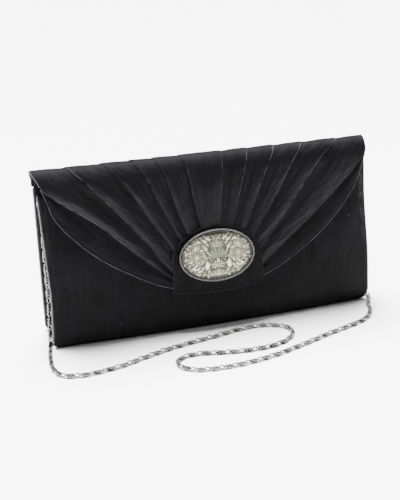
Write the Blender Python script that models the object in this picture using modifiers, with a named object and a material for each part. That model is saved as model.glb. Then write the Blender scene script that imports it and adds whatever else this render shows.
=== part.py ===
"""Evening bag: a pleated satin clutch with a flap, V gussets, an oval ornament and a chain.

Units are metres.  +X is the wearer's right seen from the front, the front faces -Y, +Z is up,
and the origin is the centre of the underside of the base.
"""
import math

import bmesh
import bpy
from mathutils import Matrix, Vector

# Driving dimensions of the closed bag
WIDTH = 0.250              # across the base
DEPTH = 0.0403             # front to back at the base
FLARE = 0.045              # each side moves out this much per metre of height
FRONT_LEAN = 0.159         # the front wall moves back this much per metre of height
BACK_LEAN = 0.0889         # the back wall moves forward this much per metre of height
FRONT_BOW = 0.0040         # how far the middle of the front wall swells at the base
BACK_BOW = 0.0025          # the same for the back wall
BOW_END = 0.130            # height at which both swells have died away
FRONT_TOP = 0.110          # top edge of the front wall
HINGE_Z = 0.1140           # crease between the back wall and the flap
ROLL_FRONT_Z = 0.112       # the flap's roll meets its flat front here
ROLL_HANDLE = 0.0168       # fullness of the roll over the mouth
FLAP_HALF = 0.130          # half the width of the flap

# Walls, from the outside in: satin, board, lining, with a gap between neighbours
GAP = 0.0003
SATIN = 0.0010
BOARD = 0.0014
LINING = 0.0005
BOARD_OUT = SATIN + GAP
LINING_OUT = BOARD_OUT + BOARD + 0.0004
WALL = LINING_OUT + LINING
FOOT = 0.0008              # clearance of the walls' lower edges above the floor
BINDING_R = 0.0009

# Flap layers: height above the front wall's face, and the same at the crease
COVER_LIFT, COVER_LIFT_BACK, COVER = 0.0038, 0.0, 0.0012
WADDING_LIFT, WADDING_LIFT_BACK, WADDING = 0.00225, -0.00155, 0.0005
FLAP_LINING_LIFT, FLAP_LINING_LIFT_BACK = 0.0009, -0.0024
FLAP_BOARD_LIFT, FLAP_BOARD = 0.0022, 0.0010
ROLL_ROWS, FRONT_ROWS = 12, 5
TAB_LIFT, TAB = 0.0049, 0.0008
TAB_HALF = 0.036
TAB_TOP = 0.077

# Flap outline: half width against height, from the middle to the corner
FLAP_OUTLINE = [(0.0, 0.0300), (0.038, 0.0335), (0.072, 0.0500), (0.0925, 0.0640), (0.1075, 0.0780),
                (0.117, 0.0895), (0.1235, 0.1005), (0.128, 0.1100), (0.130, 0.1150)]

# Ornament: an oval plaque in a rim, held by two posts
ORNAMENT_Z = 0.0532
ORNAMENT_A, ORNAMENT_B = 0.0300, 0.0197
RIM_R = 0.0014
PLATE_LIFT = 0.0059
POST_X, POST_R = 0.016, 0.0010

# Magnetic snap
SNAP_Z = 0.048
SNAP_R = 0.0070

# Gussets, rings and chain
GUSSET_TOP = 0.092
GUSSET_FOLD = 0.0125
GUSSET_LIP = 0.0026
RING_X, RING_Y, RING_TOP = 0.1245, 0.0035, 0.1045
RING_HALF, RING_DROP, RING_R = 0.0034, 0.0068, 0.0008
LINK_MAJOR, LINK_R = 0.0030, 0.0005
CHAIN_R = 0.0016
CHAIN_WALL = 0.0003        # the chain is a hollow tube, so that it weighs what its open links do
FRONT_HINGE = Vector((0.0, -0.0197, 0.0015))

# The chain's route: up out of sight at the left ring, down the left fold, along the floor in
# front of the bag, round its right corner and up the right fold to the other ring
CHAIN_ROUTE = [
    (-0.1245, 0.0035, 0.0926), (-0.1250, 0.0040, 0.0860), (-0.1254, 0.0030, 0.0740),
    (-0.1254, 0.0010, 0.0580), (-0.1254, -0.0010, 0.0420), (-0.1256, -0.0030, 0.0280),
    (-0.1262, -0.0050, 0.0140), (-0.1272, -0.0080, 0.0050), (-0.1288, -0.0140, 0.0019),
    (-0.1320, -0.0260, 0.0017), (-0.1356, -0.0420, 0.0017), (-0.1372, -0.0570, 0.0017),
    (-0.1334, -0.0688, 0.0017), (-0.1220, -0.0728, 0.0017), (-0.1090, -0.0721, 0.0017),
    (-0.0910, -0.0684, 0.0017), (-0.0720, -0.0610, 0.0017), (-0.0520, -0.0542, 0.0017),
    (-0.0330, -0.0496, 0.0017), (-0.0120, -0.0452, 0.0017), (0.0100, -0.0402, 0.0017),
    (0.0280, -0.0406, 0.0017), (0.0405, -0.0476, 0.0017), (0.0428, -0.0588, 0.0017),
    (0.0350, -0.0704, 0.0017), (0.0190, -0.0778, 0.0017), (-0.0010, -0.0786, 0.0017),
    (-0.0200, -0.0750, 0.0017), (-0.0350, -0.0708, 0.0017), (-0.0468, -0.0716, 0.0017),
    (-0.0542, -0.0780, 0.0017), (-0.0546, -0.0866, 0.0017), (-0.0465, -0.0950, 0.0017),
    (-0.0290, -0.0984, 0.0017), (-0.0080, -0.0974, 0.0017), (0.0140, -0.0928, 0.0017),
    (0.0370, -0.0850, 0.0017), (0.0640, -0.0742, 0.0017), (0.0880, -0.0658, 0.0017),
    (0.1040, -0.0582, 0.0017), (0.1148, -0.0460, 0.0017), (0.1200, -0.0330, 0.0017),
    (0.1262, -0.0232, 0.0017), (0.1294, -0.0130, 0.0021), (0.1290, -0.0055, 0.0060),
    (0.1272, -0.0025, 0.0150), (0.1262, -0.0012, 0.0300), (0.1256, 0.0004, 0.0460),
    (0.1254, 0.0020, 0.0620), (0.1252, 0.0034, 0.0780), (0.1248, 0.0038, 0.0870),
    (0.1245, 0.0035, 0.0926),
]
CHAIN_STEPS = 78

# Colours and finishes: colour, metallic, roughness
FINISHES = {
    "satin": ((0.012, 0.012, 0.014), 0.0, 0.45),
    "board": ((0.32, 0.26, 0.19), 0.0, 0.90),
    "lining": ((0.02, 0.02, 0.023), 0.0, 0.55),
    "binding": ((0.16, 0.16, 0.17), 0.0, 0.60),
    "wadding": ((0.60, 0.60, 0.57), 0.0, 0.95),
    "silver": ((0.66, 0.66, 0.64), 1.0, 0.30),
    "plaque": ((0.58, 0.57, 0.50), 1.0, 0.42),
    "steel": ((0.50, 0.50, 0.50), 1.0, 0.35),
    "magnet": ((0.12, 0.12, 0.12), 0.6, 0.50),
}


# ---------------------------------------------------------------- scene and material helpers

def clear_scene():
    for old in list(bpy.data.objects):
        bpy.data.objects.remove(old, do_unlink=True)
    for name in ("evening_bag", "cutters"):
        holder = bpy.data.collections.new(name)
        bpy.context.scene.collection.children.link(holder)
    return bpy.data.collections["evening_bag"], bpy.data.collections["cutters"]


PARTS, CUTTERS = clear_scene()


def material(name, finish):
    colour, metallic, roughness = FINISHES[finish]
    made = bpy.data.materials.new(name + "_" + finish)
    made.use_nodes = True
    shader = made.node_tree.nodes["Principled BSDF"]
    shader.inputs["Base Color"].default_value = (*colour, 1.0)
    shader.inputs["Metallic"].default_value = metallic
    shader.inputs["Roughness"].default_value = roughness
    return made


def add_object(name, data, finish):
    made = bpy.data.objects.new(name, data)
    PARTS.objects.link(made)
    data.materials.append(material(name, finish))
    return made


def pivot(name, where):
    empty = bpy.data.objects.new(name, None)
    empty.location = where
    empty.empty_display_size = 0.01
    PARTS.objects.link(empty)
    return empty


def hang(empty, *pieces):
    """Parent pieces to the empty on their joint's axis, leaving them where they are."""
    for piece in pieces:
        piece.parent = empty
        piece.matrix_parent_inverse = Matrix.Translation(-empty.location)


def thicken(made, thickness, offset):
    shell = made.modifiers.new("thickness", "SOLIDIFY")
    shell.thickness = thickness
    shell.offset = offset
    shell.use_even_offset = True


def sheet(name, columns, rows, place, thickness, finish, offset=-1.0):
    """A grid laid over the surface place(u, v), u and v from -1 to 1, given a thickness."""
    mesh = bpy.data.meshes.new(name)
    grid = bmesh.new()
    bmesh.ops.create_grid(grid, x_segments=columns, y_segments=rows, size=1.0)
    for vert in grid.verts:
        vert.co = place(vert.co.x, vert.co.y)
    grid.to_mesh(mesh)
    grid.free()
    made = add_object(name, mesh, finish)
    thicken(made, thickness, offset)
    return made


def tube(name, points, radius, finish, cyclic=False):
    curve = bpy.data.curves.new(name, "CURVE")
    curve.dimensions = "3D"
    curve.bevel_depth = radius
    curve.bevel_resolution = 2
    curve.use_fill_caps = True
    spline = curve.splines.new("POLY")
    spline.points.add(len(points) - 1)
    for knot, point in zip(spline.points, points):
        knot.co = (*point, 1.0)
    spline.use_cyclic_u = cyclic
    return add_object(name, curve, finish)


def turned(name, profile, finish, closed=False, steps=24):
    """A profile of (radius, height), down its outer side from top to bottom, turned about Z."""
    mesh = bpy.data.meshes.new(name)
    count = len(profile)
    edges = [(i, i + 1) for i in range(count - 1)]
    if closed:
        edges.append((count - 1, 0))
    mesh.from_pydata([(radius, 0.0, height) for radius, height in profile], edges, [])
    made = add_object(name, mesh, finish)
    screw = made.modifiers.new("turn", "SCREW")
    screw.axis = "Z"
    screw.steps = steps
    screw.render_steps = steps
    screw.use_merge_vertices = True
    screw.merge_threshold = 0.00001
    return made


def drill(piece, centre, normal, radius, length=0.012):
    """Cut a round hole through the piece along the normal at the centre."""
    mesh = bpy.data.meshes.new("drill")
    shape = bmesh.new()
    bmesh.ops.create_cone(shape, cap_ends=True, segments=24, radius1=radius, radius2=radius,
                          depth=length)
    shape.to_mesh(mesh)
    shape.free()
    cutter = bpy.data.objects.new("drill_" + piece.name, mesh)
    cutter.location = centre
    cutter.rotation_euler = normal.to_track_quat("Z", "Y").to_euler()
    cutter.hide_render = True
    cutter.display_type = "WIRE"
    CUTTERS.objects.link(cutter)
    cut = piece.modifiers.new("hole", "BOOLEAN")
    cut.operation = "DIFFERENCE"
    cut.solver = "EXACT"
    cut.object = cutter


# ---------------------------------------------------------------- the bag's surfaces

def half_width(z):
    return WIDTH / 2 + FLARE * z


def bow(x, z):
    across = max(0.0, 1.0 - (2 * x / WIDTH) ** 2)
    return across * max(0.0, 1.0 - z / BOW_END)


def front_y(x, z):
    return -DEPTH / 2 + FRONT_LEAN * z - FRONT_BOW * bow(x, z)


def back_y(x, z):
    return DEPTH / 2 - BACK_LEAN * z + BACK_BOW * bow(x, z)


def on_front(x, z, lift):
    """A point lifted off the front wall along its normal, near the middle of the bag."""
    slope = FRONT_LEAN + FRONT_BOW / BOW_END
    lean = math.atan(slope)
    return Vector((x, front_y(x, z) - lift * math.cos(lean), z + lift * math.sin(lean)))


FRONT_NORMAL = (on_front(0.0, ORNAMENT_Z, 1.0) - on_front(0.0, ORNAMENT_Z, 0.0)).normalized()
FRONT_TURN = (math.pi / 2 - math.atan(FRONT_LEAN + FRONT_BOW / BOW_END), 0.0, 0.0)


def smooth(t):
    t = min(1.0, max(0.0, t))
    return t * t * (3 - 2 * t)


def flap_path(x):
    """The flap's run over the bag at x as (y, z) points: up, over the mouth and down the front."""
    start = Vector((back_y(x, HINGE_Z), HINGE_Z))
    end = Vector((front_y(x, ROLL_FRONT_Z), ROLL_FRONT_Z))
    rise_back = Vector((-BACK_LEAN, 1.0)).normalized() * ROLL_HANDLE
    rise_front = Vector((FRONT_LEAN, 1.0)).normalized() * ROLL_HANDLE
    knots = (start, start + rise_back, end + rise_front, end)
    count = 28
    path = []
    for i in range(count + 1):
        t = i / count
        weights = ((1 - t) ** 3, 3 * t * (1 - t) ** 2, 3 * t * t * (1 - t), t ** 3)
        path.append(sum((k * w for k, w in zip(knots, weights)), Vector((0.0, 0.0))))
    path.append(Vector((front_y(x, 0.0), 0.0)))
    return path


def run_lengths(path):
    lengths = [0.0]
    for a, b in zip(path, path[1:]):
        lengths.append(lengths[-1] + (b - a).length)
    return lengths


def flap_point(x, run, lift, lift_back):
    """A point of the flap at x, a run along it from the crease, lifted off its inner path."""
    path = flap_path(x)
    lengths = run_lengths(path)
    i = 0
    while i < len(path) - 2 and lengths[i + 1] < run:
        i += 1
    t = (run - lengths[i]) / (lengths[i + 1] - lengths[i])
    centre = path[i].lerp(path[i + 1], t)
    before = path[max(i - 1, 0)]
    after = path[min(i + 2, len(path) - 1)]
    tangents = (path[i + 1] - before, after - path[i])
    if i >= len(path) - 2:
        tangents = (path[i + 1] - path[i], path[i + 1] - path[i])
    along = tangents[0].normalized().lerp(tangents[1].normalized(), t).normalized()
    normal = Vector((-along.y, along.x)) * -1.0
    mixed = lift_back + (lift - lift_back) * smooth(run / lengths[-2])
    spot = centre + normal * mixed
    return Vector((x, spot.x, spot.y))


def outline_height(x, inset):
    """Height of the flap's lower edge at x, for a layer set in from the satin's own edge."""
    x = abs(x) * FLAP_HALF / (FLAP_HALF - inset)
    for (x0, z0), (x1, z1) in zip(FLAP_OUTLINE, FLAP_OUTLINE[1:]):
        if x <= x1 + 1e-9:
            return z0 + (z1 - z0) * (x - x0) / (x1 - x0) + 1.2 * inset
    return FLAP_OUTLINE[-1][1] + 1.2 * inset


def flap_run(x, inset=0.0):
    """Length of the flap at x from the crease to its lower edge."""
    path = flap_path(x)
    lengths = run_lengths(path)
    low = outline_height(x, inset)
    for i in range(len(path) // 2, len(path) - 1):
        if path[i + 1].y <= low:
            t = (path[i].y - low) / (path[i].y - path[i + 1].y)
            return lengths[i] + t * (lengths[i + 1] - lengths[i])
    return lengths[-1]


def roll_run(x):
    return run_lengths(flap_path(x))[-2]


def crowded(u):
    """Spread columns so that they crowd towards both ends."""
    return 1.5 * u - 0.5 * u ** 3


# ---------------------------------------------------------------- front wall, back wall, base

def wall(name, surface, facing, inset, depth, low, high, thickness, finish):
    """One layer of a wall: facing is -1 for the front and 1 for the back."""
    def place(u, v):
        z = low + (high - low) * (v + 1) / 2
        x = -facing * u * (half_width(z) - inset)
        return Vector((x, surface(x, z) - facing * depth, z))
    return sheet(name, 12, 5, place, thickness, finish)


def binding(name, surface, facing, side, high):
    points = []
    for i in range(9):
        z = 0.003 + (high - 0.003) * i / 8
        x = side * (half_width(z) - BINDING_R)
        points.append((x, surface(x, z) - facing * 0.0013, z))
    return tube(name, points, BINDING_R, "binding")


def base_sheet(name, inset_x, inset_y, top, thickness, finish):
    def place(u, v):
        x = u * (WIDTH / 2 - inset_x)
        low = front_y(x, 0.0) + inset_y
        high = back_y(x, 0.0) - inset_y
        return Vector((x, low + (high - low) * (v + 1) / 2, top))
    return sheet(name, 12, 2, place, thickness, finish)


def build_front():
    skin = wall("front_panel", front_y, -1, 0.0022, 0.0, FOOT, FRONT_TOP, SATIN, "satin")
    inner_top = FRONT_TOP - 0.001
    board = wall("front_board", front_y, -1, 0.0036, BOARD_OUT, 0.0018, inner_top, BOARD, "board")
    lining = wall("front_lining", front_y, -1, 0.0036, LINING_OUT, 0.0045, inner_top, LINING, "lining")
    left = binding("front_left_binding", front_y, -1, -1, FRONT_TOP)
    right = binding("front_right_binding", front_y, -1, 1, FRONT_TOP)
    for piece in (skin, board):
        drill(piece, on_front(0.0, SNAP_Z, 0.0), FRONT_NORMAL, SNAP_R + 0.0004)
    return [skin, board, lining, left, right]


def build_back():
    top = HINGE_Z - 0.0006
    wall("back_panel", back_y, 1, 0.0022, 0.0, FOOT, top, SATIN, "satin")
    wall("back_board", back_y, 1, 0.0036, BOARD_OUT, 0.0018, top - 0.0004, BOARD, "board")
    wall("back_lining", back_y, 1, 0.0036, LINING_OUT, 0.0045, top - 0.0004, LINING, "lining")
    binding("back_left_binding", back_y, 1, -1, top)
    binding("back_right_binding", back_y, 1, 1, top)

    def pocket(u, v):
        z = 0.0525 + 0.0275 * v
        x = -0.055 * u
        return Vector((x, back_y(x, z) - WALL - 0.0005, z))
    sheet("inner_pocket", 12, 4, pocket, 0.0006, "lining")


def build_base():
    base_sheet("base_panel", 0.0020, SATIN + 3 * GAP, 0.0013, 0.0013, "satin")
    base_sheet("base_board", 0.0036, 0.0046, 0.0030, BOARD, "board")
    base_sheet("base_lining", 0.0036, 0.0050, 0.0038, LINING, "lining")


def build_gusset(name, side):
    """A side of the bag: one sheet folded inward between the front and back walls."""
    low = 0.0046

    def section(t, z):
        edge = half_width(z) - GUSSET_LIP
        front = front_y(edge, z) + SATIN + 0.0008
        back = back_y(edge, z) - SATIN - 0.0008
        turn = WALL - SATIN + 0.0002
        fold = half_width(z) - GUSSET_FOLD
        middle = (front + back) / 2
        knots = [(edge, front), (edge - 0.0002, front + turn), (fold + 0.0010, middle - 0.0006),
                 (fold + 0.0010, middle + 0.0006), (edge - 0.0002, back - turn), (edge, back)]
        spans = [0.0, 1 / 9, 4 / 9, 5 / 9, 8 / 9, 1.0]
        for i in range(len(spans) - 1):
            if t <= spans[i + 1] + 1e-9:
                mix = (t - spans[i]) / (spans[i + 1] - spans[i])
                a, b = Vector(knots[i]), Vector(knots[i + 1])
                return a.lerp(b, mix)
        return Vector(knots[-1])

    def place(u, v):
        z = low + (GUSSET_TOP - low) * (v + 1) / 2
        spot = section((side * u + 1) / 2, z)
        return Vector((side * spot.x, spot.y, z))
    return sheet(name, 9, 4, place, 0.0006, "satin", offset=0.0)


# ---------------------------------------------------------------- flap

def flap_layer(name, inset, lift, lift_back, thickness, finish, start):
    """A layer that runs from the crease over the mouth and down to the flap's edge."""
    def place(u, v):
        x = crowded(u) * (FLAP_HALF - inset)
        whole = flap_run(x, inset)
        bend = min(roll_run(x), 0.8 * whole)
        row = (v + 1) / 2 * (ROLL_ROWS + FRONT_ROWS)
        if row <= ROLL_ROWS:
            run = start + (bend - start) * row / ROLL_ROWS
        else:
            run = bend + (whole - bend) * (row - ROLL_ROWS) / FRONT_ROWS
        return flap_point(x, run, lift, lift_back)
    return sheet(name, 24, ROLL_ROWS + FRONT_ROWS, place, thickness, finish, offset=1.0)


def build_flap_board():
    inset = 0.0030

    def place(u, v):
        x = crowded(u) * 0.117
        top = ROLL_FRONT_Z - 0.0015
        low = max(outline_height(x, inset), 0.0)
        low = min(low, top - 0.004)
        z = top + (low - top) * (v + 1) / 2
        return Vector((x, front_y(x, z) - FLAP_BOARD_LIFT, z))
    return sheet("flap_board", 16, 5, place, FLAP_BOARD, "board", offset=1.0)


def build_wadding():
    rows = ROLL_ROWS - 2

    def place(u, v):
        x = crowded(u) * 0.123
        row = 1 + rows * (v + 1) / 2
        return flap_point(x, roll_run(x) * row / ROLL_ROWS, WADDING_LIFT, WADDING_LIFT_BACK)
    return sheet("roll_wadding", 16, rows, place, WADDING, "wadding", offset=1.0)


def build_flap_piping():
    """A thin cord round the flap's free edge, from one end of the roll to the other."""
    corner = flap_run(FLAP_HALF)
    side = [(-FLAP_HALF, corner * t) for t in (0.56, 0.68, 0.80, 0.92)]
    right = [(x, flap_run(x)) for x in (0.130, 0.129, 0.128, 0.1258, 0.1235, 0.120, 0.117, 0.112,
                                        0.1075, 0.100, 0.0925, 0.082, 0.072, 0.060, 0.049, 0.038,
                                        0.026, 0.013)]
    left = [(-x, run) for x, run in right]
    edge = side + left + [(0.0, flap_run(0.0))] + right[::-1] + [(-x, run) for x, run in side[::-1]]
    points = []
    for i, (x, run) in enumerate(edge):
        before = Vector(edge[max(i - 1, 0)])
        after = Vector(edge[min(i + 1, len(edge) - 1)])
        along = (after - before).normalized()
        outward = Vector((-along.y, along.x)) * 0.0011
        points.append(flap_point(x + outward.x, run + outward.y, COVER_LIFT - COVER / 2, -COVER / 2))
    return tube("flap_piping", points, 0.0006, "binding")


def build_tab():
    """The plain band under the ornament: straight sides below, and an arched top round the oval."""
    def place(u, v):
        x = u * TAB_HALF
        if v > 0.0:
            x *= math.sqrt(1.0 - 0.75 * v * v)
            z = ORNAMENT_Z + v * (TAB_TOP - 0.0045 * u * u - ORNAMENT_Z)
        else:
            low = 0.0264 + 0.0034 * u * u
            z = ORNAMENT_Z + v * (ORNAMENT_Z - low)
        return Vector((x, front_y(x, z) - TAB_LIFT, z))
    return sheet("centre_tab", 8, 8, place, TAB, "satin")


def oval(a, b, count):
    return [(a * math.cos(2 * math.pi * i / count), b * math.sin(2 * math.pi * i / count), 0.0)
            for i in range(count)]


def build_ornament():
    centre = on_front(0.0, ORNAMENT_Z, 0.0)
    rim = tube("medallion_rim", oval(ORNAMENT_A - RIM_R, ORNAMENT_B - RIM_R, 40), RIM_R, "silver", True)
    rim.location = centre + FRONT_NORMAL * (PLATE_LIFT - 0.0006 + RIM_R)
    rim.rotation_euler = FRONT_TURN

    inner = ORNAMENT_A - 2 * RIM_R - 0.0006
    dome = [(0.0, 0.0024), (0.4, 0.0021), (0.75, 0.0014), (0.95, 0.0007), (1.0, 0.0), (0.0, 0.0)]
    plaque = turned("medallion_plaque", [(r * inner, h) for r, h in dome], "plaque", steps=40)
    plaque.scale = (1.0, (ORNAMENT_B - 2 * RIM_R - 0.0006) / inner, 1.0)
    plaque.location = centre + FRONT_NORMAL * (PLATE_LIFT + 0.0004)
    plaque.rotation_euler = FRONT_TURN

    plate_a = inner - 0.0004
    plate = turned("medallion_back_plate", [(0.0, 0.0), (plate_a, 0.0), (plate_a, -0.0006), (0.0, -0.0006)],
                   "steel", steps=40)
    plate.scale = (1.0, (ORNAMENT_B - 2 * RIM_R - 0.0010) / plate_a, 1.0)
    plate.location = centre + FRONT_NORMAL * PLATE_LIFT
    plate.rotation_euler = FRONT_TURN

    pieces = [rim, plaque, plate]
    tall = PLATE_LIFT - 0.0006 - GAP - 0.0012
    for side, word in ((-1, "left"), (1, "right")):
        foot = on_front(side * POST_X, ORNAMENT_Z, 0.0)
        post = turned("medallion_" + word + "_post",
                      [(0.0, tall), (POST_R, tall), (POST_R, 0.0), (0.0, 0.0)], "steel", steps=16)
        post.location = foot + FRONT_NORMAL * 0.0012
        post.rotation_euler = FRONT_TURN
        washer = turned("medallion_" + word + "_washer",
                        [(0.0014, 0.0009), (0.0026, 0.0009), (0.0026, 0.0), (0.0014, 0.0)],
                        "steel", closed=True, steps=20)
        washer.location = foot + FRONT_NORMAL * 0.0012
        washer.rotation_euler = FRONT_TURN
        pieces += [post, washer]
    return pieces


def build_flap():
    cover = flap_layer("pleated_cover", 0.0, COVER_LIFT, COVER_LIFT_BACK, COVER, "satin", 0.0)
    lining = flap_layer("flap_lining", 0.0012, FLAP_LINING_LIFT, FLAP_LINING_LIFT_BACK, LINING,
                        "lining", 0.0002)
    board = build_flap_board()
    tab = build_tab()
    for side in (-1, 1):
        foot = on_front(side * POST_X, ORNAMENT_Z, 0.0)
        drill(board, foot, FRONT_NORMAL, 0.0030)
        for piece in (cover, tab):
            drill(piece, foot + FRONT_NORMAL * 0.004, FRONT_NORMAL, POST_R + 0.0004, 0.004)
    snap = on_front(0.0, SNAP_Z, 0.0)
    drill(board, snap, FRONT_NORMAL, 0.0058)
    drill(lining, snap, FRONT_NORMAL, 0.0058)
    return [cover, lining, board, tab, build_wadding(), build_flap_piping()] + build_ornament()


# ---------------------------------------------------------------- magnetic snap

def snap_piece(name, profile, finish, closed=False):
    made = turned(name, profile, finish, closed)
    made.location = on_front(0.0, SNAP_Z, 0.0)
    made.rotation_euler = FRONT_TURN
    return made


def build_snap():
    hole = 0.0035
    inner = SNAP_R - 0.0005
    case_outline = [(hole, 0.0), (SNAP_R, 0.0), (SNAP_R, -0.0022), (inner, -0.0022), (inner, -0.0005),
                    (hole, -0.0005)]
    magnet_outline = [(0.0037, -0.0008), (0.0062, -0.0008), (0.0062, -0.0018), (0.0037, -0.0018)]
    washer_outline = [(0.0, -0.0021), (0.0061, -0.0021), (0.0061, -0.0026), (0.0, -0.0026)]
    stud_outline = [(0.0, 0.00085), (0.0054, 0.00085), (0.0054, 0.0004), (0.0024, 0.0004),
                    (0.0024, -0.0015), (0.0, -0.0015)]
    backing_outline = [(0.0, 0.0021), (0.0054, 0.0021), (0.0054, 0.0012), (0.0, 0.0012)]
    case = snap_piece("snap_socket_case", case_outline, "silver", True)
    magnet = snap_piece("snap_magnet", magnet_outline, "magnet", True)
    washer = snap_piece("snap_socket_washer", washer_outline, "steel")
    stud = snap_piece("snap_stud", stud_outline, "silver")
    backing = snap_piece("snap_stud_washer", backing_outline, "steel")
    return [case, magnet, washer], [stud, backing]


# ---------------------------------------------------------------- rings and chain

def build_ring_tab(name, side):
    """A folded strip sewn to the back lining, with the ring's top in its loop."""
    curve = bpy.data.curves.new(name, "CURVE")
    curve.dimensions = "2D"
    curve.fill_mode = "BOTH"
    curve.extrude = 0.002
    outer = [(-0.0020, 0.0), (-0.0016, 0.0020), (0.0006, 0.0050), (0.0024, 0.0060), (0.0029, 0.0056),
             (0.0029, 0.0035), (0.0021, 0.0012)]
    for i in range(10):
        turn = -math.pi * i / 9
        outer.append((0.0020 * math.cos(turn), 0.0020 * math.sin(turn)))
    outer.pop()
    hole = [(0.0012 * math.cos(2 * math.pi * i / 16), 0.0012 * math.sin(2 * math.pi * i / 16))
            for i in range(16)]
    for loop in (outer, hole):
        spline = curve.splines.new("POLY")
        spline.points.add(len(loop) - 1)
        for knot, point in zip(spline.points, loop):
            knot.co = (*point, 0.0, 1.0)
        spline.use_cyclic_u = True
    tab = add_object(name, curve, "satin")
    tab.location = (side * RING_X, RING_Y, RING_TOP)
    tab.rotation_euler = (math.pi / 2, 0.0, math.pi / 2)
    return tab


def build_ring(name, side):
    """A D-shaped wire ring: a straight bar in the tab's loop and a round bow below it."""
    bar = 0.7 * RING_HALF
    shoulder = 0.0009
    outline = [(-bar, 0.0), (0.0, 0.0), (bar, 0.0), (0.92 * RING_HALF, -0.3 * shoulder)]
    for i in range(15):
        turn = math.pi * i / 14
        outline.append((RING_HALF * math.cos(turn), -shoulder - (RING_DROP - shoulder) * math.sin(turn)))
    outline.append((-0.92 * RING_HALF, -0.3 * shoulder))
    points = [(side * RING_X + x, RING_Y, RING_TOP + z) for x, z in outline]
    return tube(name, points, RING_R, "silver", True)


def build_end_link(name, side):
    height = RING_TOP - RING_DROP - 0.0012
    points = []
    for i in range(20):
        turn = 2 * math.pi * i / 20
        points.append((side * RING_X, RING_Y + LINK_MAJOR * math.cos(turn),
                       height + LINK_MAJOR * math.sin(turn)))
    return tube(name, points, LINK_R, "silver", True)


def smooth_route(route, count):
    """Points evenly spaced along a smooth curve through the route's own points."""
    knots = [Vector(p) for p in route]
    fine = []
    for i in range(len(knots) - 1):
        p0, p1, p2, p3 = knots[max(i - 1, 0)], knots[i], knots[i + 1], knots[min(i + 2, len(knots) - 1)]
        for j in range(12):
            t = j / 12
            fine.append(0.5 * (2 * p1 + (p2 - p0) * t + (2 * p0 - 5 * p1 + 4 * p2 - p3) * t ** 2
                               + (3 * p1 - p0 - 3 * p2 + p3) * t ** 3))
    fine.append(knots[-1])
    lengths = [0.0]
    for a, b in zip(fine, fine[1:]):
        lengths.append(lengths[-1] + (b - a).length)
    spaced = []
    i = 0
    for k in range(count):
        goal = lengths[-1] * k / (count - 1)
        while i < len(fine) - 2 and lengths[i + 1] < goal:
            i += 1
        spaced.append(fine[i].lerp(fine[i + 1], (goal - lengths[i]) / (lengths[i + 1] - lengths[i])))
    return spaced


# ---------------------------------------------------------------- assembly

def build():
    front = build_front()
    build_back()
    build_base()
    build_gusset("left_gusset", -1)
    build_gusset("right_gusset", 1)
    flap = build_flap()
    socket, stud = build_snap()
    hang(pivot("front_panel_tilt", FRONT_HINGE), *front, *socket)
    crease = Vector((0.0, back_y(0.0, HINGE_Z), HINGE_Z - 0.0002))
    hang(pivot("flap_hinge", crease), *flap, *stud)
    for side, word in ((-1, "left"), (1, "right")):
        build_ring_tab(word + "_ring_tab", side)
        ring = build_ring(word + "_d_ring", side)
        hang(pivot(word + "_ring_swing", Vector((side * RING_X, RING_Y, RING_TOP))), ring)
        build_end_link(word + "_end_link", side)
    chain = tube("chain", smooth_route(CHAIN_ROUTE, CHAIN_STEPS), CHAIN_R, "silver")
    chain.data.use_fill_caps = False
    thicken(chain, CHAIN_WALL, -1.0)


build()
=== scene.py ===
import math

import bpy
import numpy as np
from mathutils import Matrix, Vector, noise


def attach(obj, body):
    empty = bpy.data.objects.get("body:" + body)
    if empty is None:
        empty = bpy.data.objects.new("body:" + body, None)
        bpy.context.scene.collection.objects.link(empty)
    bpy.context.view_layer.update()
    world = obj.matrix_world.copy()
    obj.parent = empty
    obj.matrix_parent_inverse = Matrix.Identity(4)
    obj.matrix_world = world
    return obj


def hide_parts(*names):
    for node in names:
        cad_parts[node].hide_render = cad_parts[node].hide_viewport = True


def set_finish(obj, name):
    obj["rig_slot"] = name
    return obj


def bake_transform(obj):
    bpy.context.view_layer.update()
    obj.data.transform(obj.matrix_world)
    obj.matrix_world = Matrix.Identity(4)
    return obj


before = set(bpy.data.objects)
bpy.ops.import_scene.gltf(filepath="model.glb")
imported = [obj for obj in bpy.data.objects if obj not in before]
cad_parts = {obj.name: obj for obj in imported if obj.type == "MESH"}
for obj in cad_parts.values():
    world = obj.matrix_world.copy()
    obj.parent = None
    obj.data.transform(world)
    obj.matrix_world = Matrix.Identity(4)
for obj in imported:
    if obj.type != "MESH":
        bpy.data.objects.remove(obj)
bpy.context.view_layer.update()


def mm(table):
    """A table in millimetres as an array in metres."""
    return np.array(table) / 1000


# The bag's walls, as in the CAD model
WIDTH, DEPTH = 0.25, 0.0403
FLARE, FRONT_LEAN, BACK_LEAN = 0.045, 0.159, 0.0889
FRONT_BOW, BACK_BOW, BOW_END = 0.004, 0.0025, 0.13
HINGE_Z, ROLL_FRONT_Z = 0.114, 0.112
ROLL_HANDLE, ROLL_STEPS = 0.0168, 28
ROLL_SPREAD = 0.002        # how far the left end of the roll has spread at its top
ROLL_DRAW = 0.0028         # how far the ends of the flap are drawn in below the roll
FOOT_SPREAD = 0.0031       # how far the lower left corner of the front has spread
SIDE_SPREAD = 0.003        # how far the lower right side of the front has spread
FOOT = 0.0008
WALL = 0.0036              # satin, board and lining together
COVER_LIFT = 0.0038        # the flap's face above the front wall's face
LINING_LIFT = 0.0034       # the flap's lining, which closes in on the crease
FLAP_HALF = 0.13
CREASE_H = 0.144           # surface height of the crease, measured on over the roll

# The flap's lower edge, from the middle to the corner, as (half width, height)
FLAP_OUTLINE = mm([(0, 30), (38, 33.5), (72, 50), (92.5, 64), (107.5, 78), (117, 89.5),
                   (123.5, 100.5), (128, 110), (130, 115)])

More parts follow.
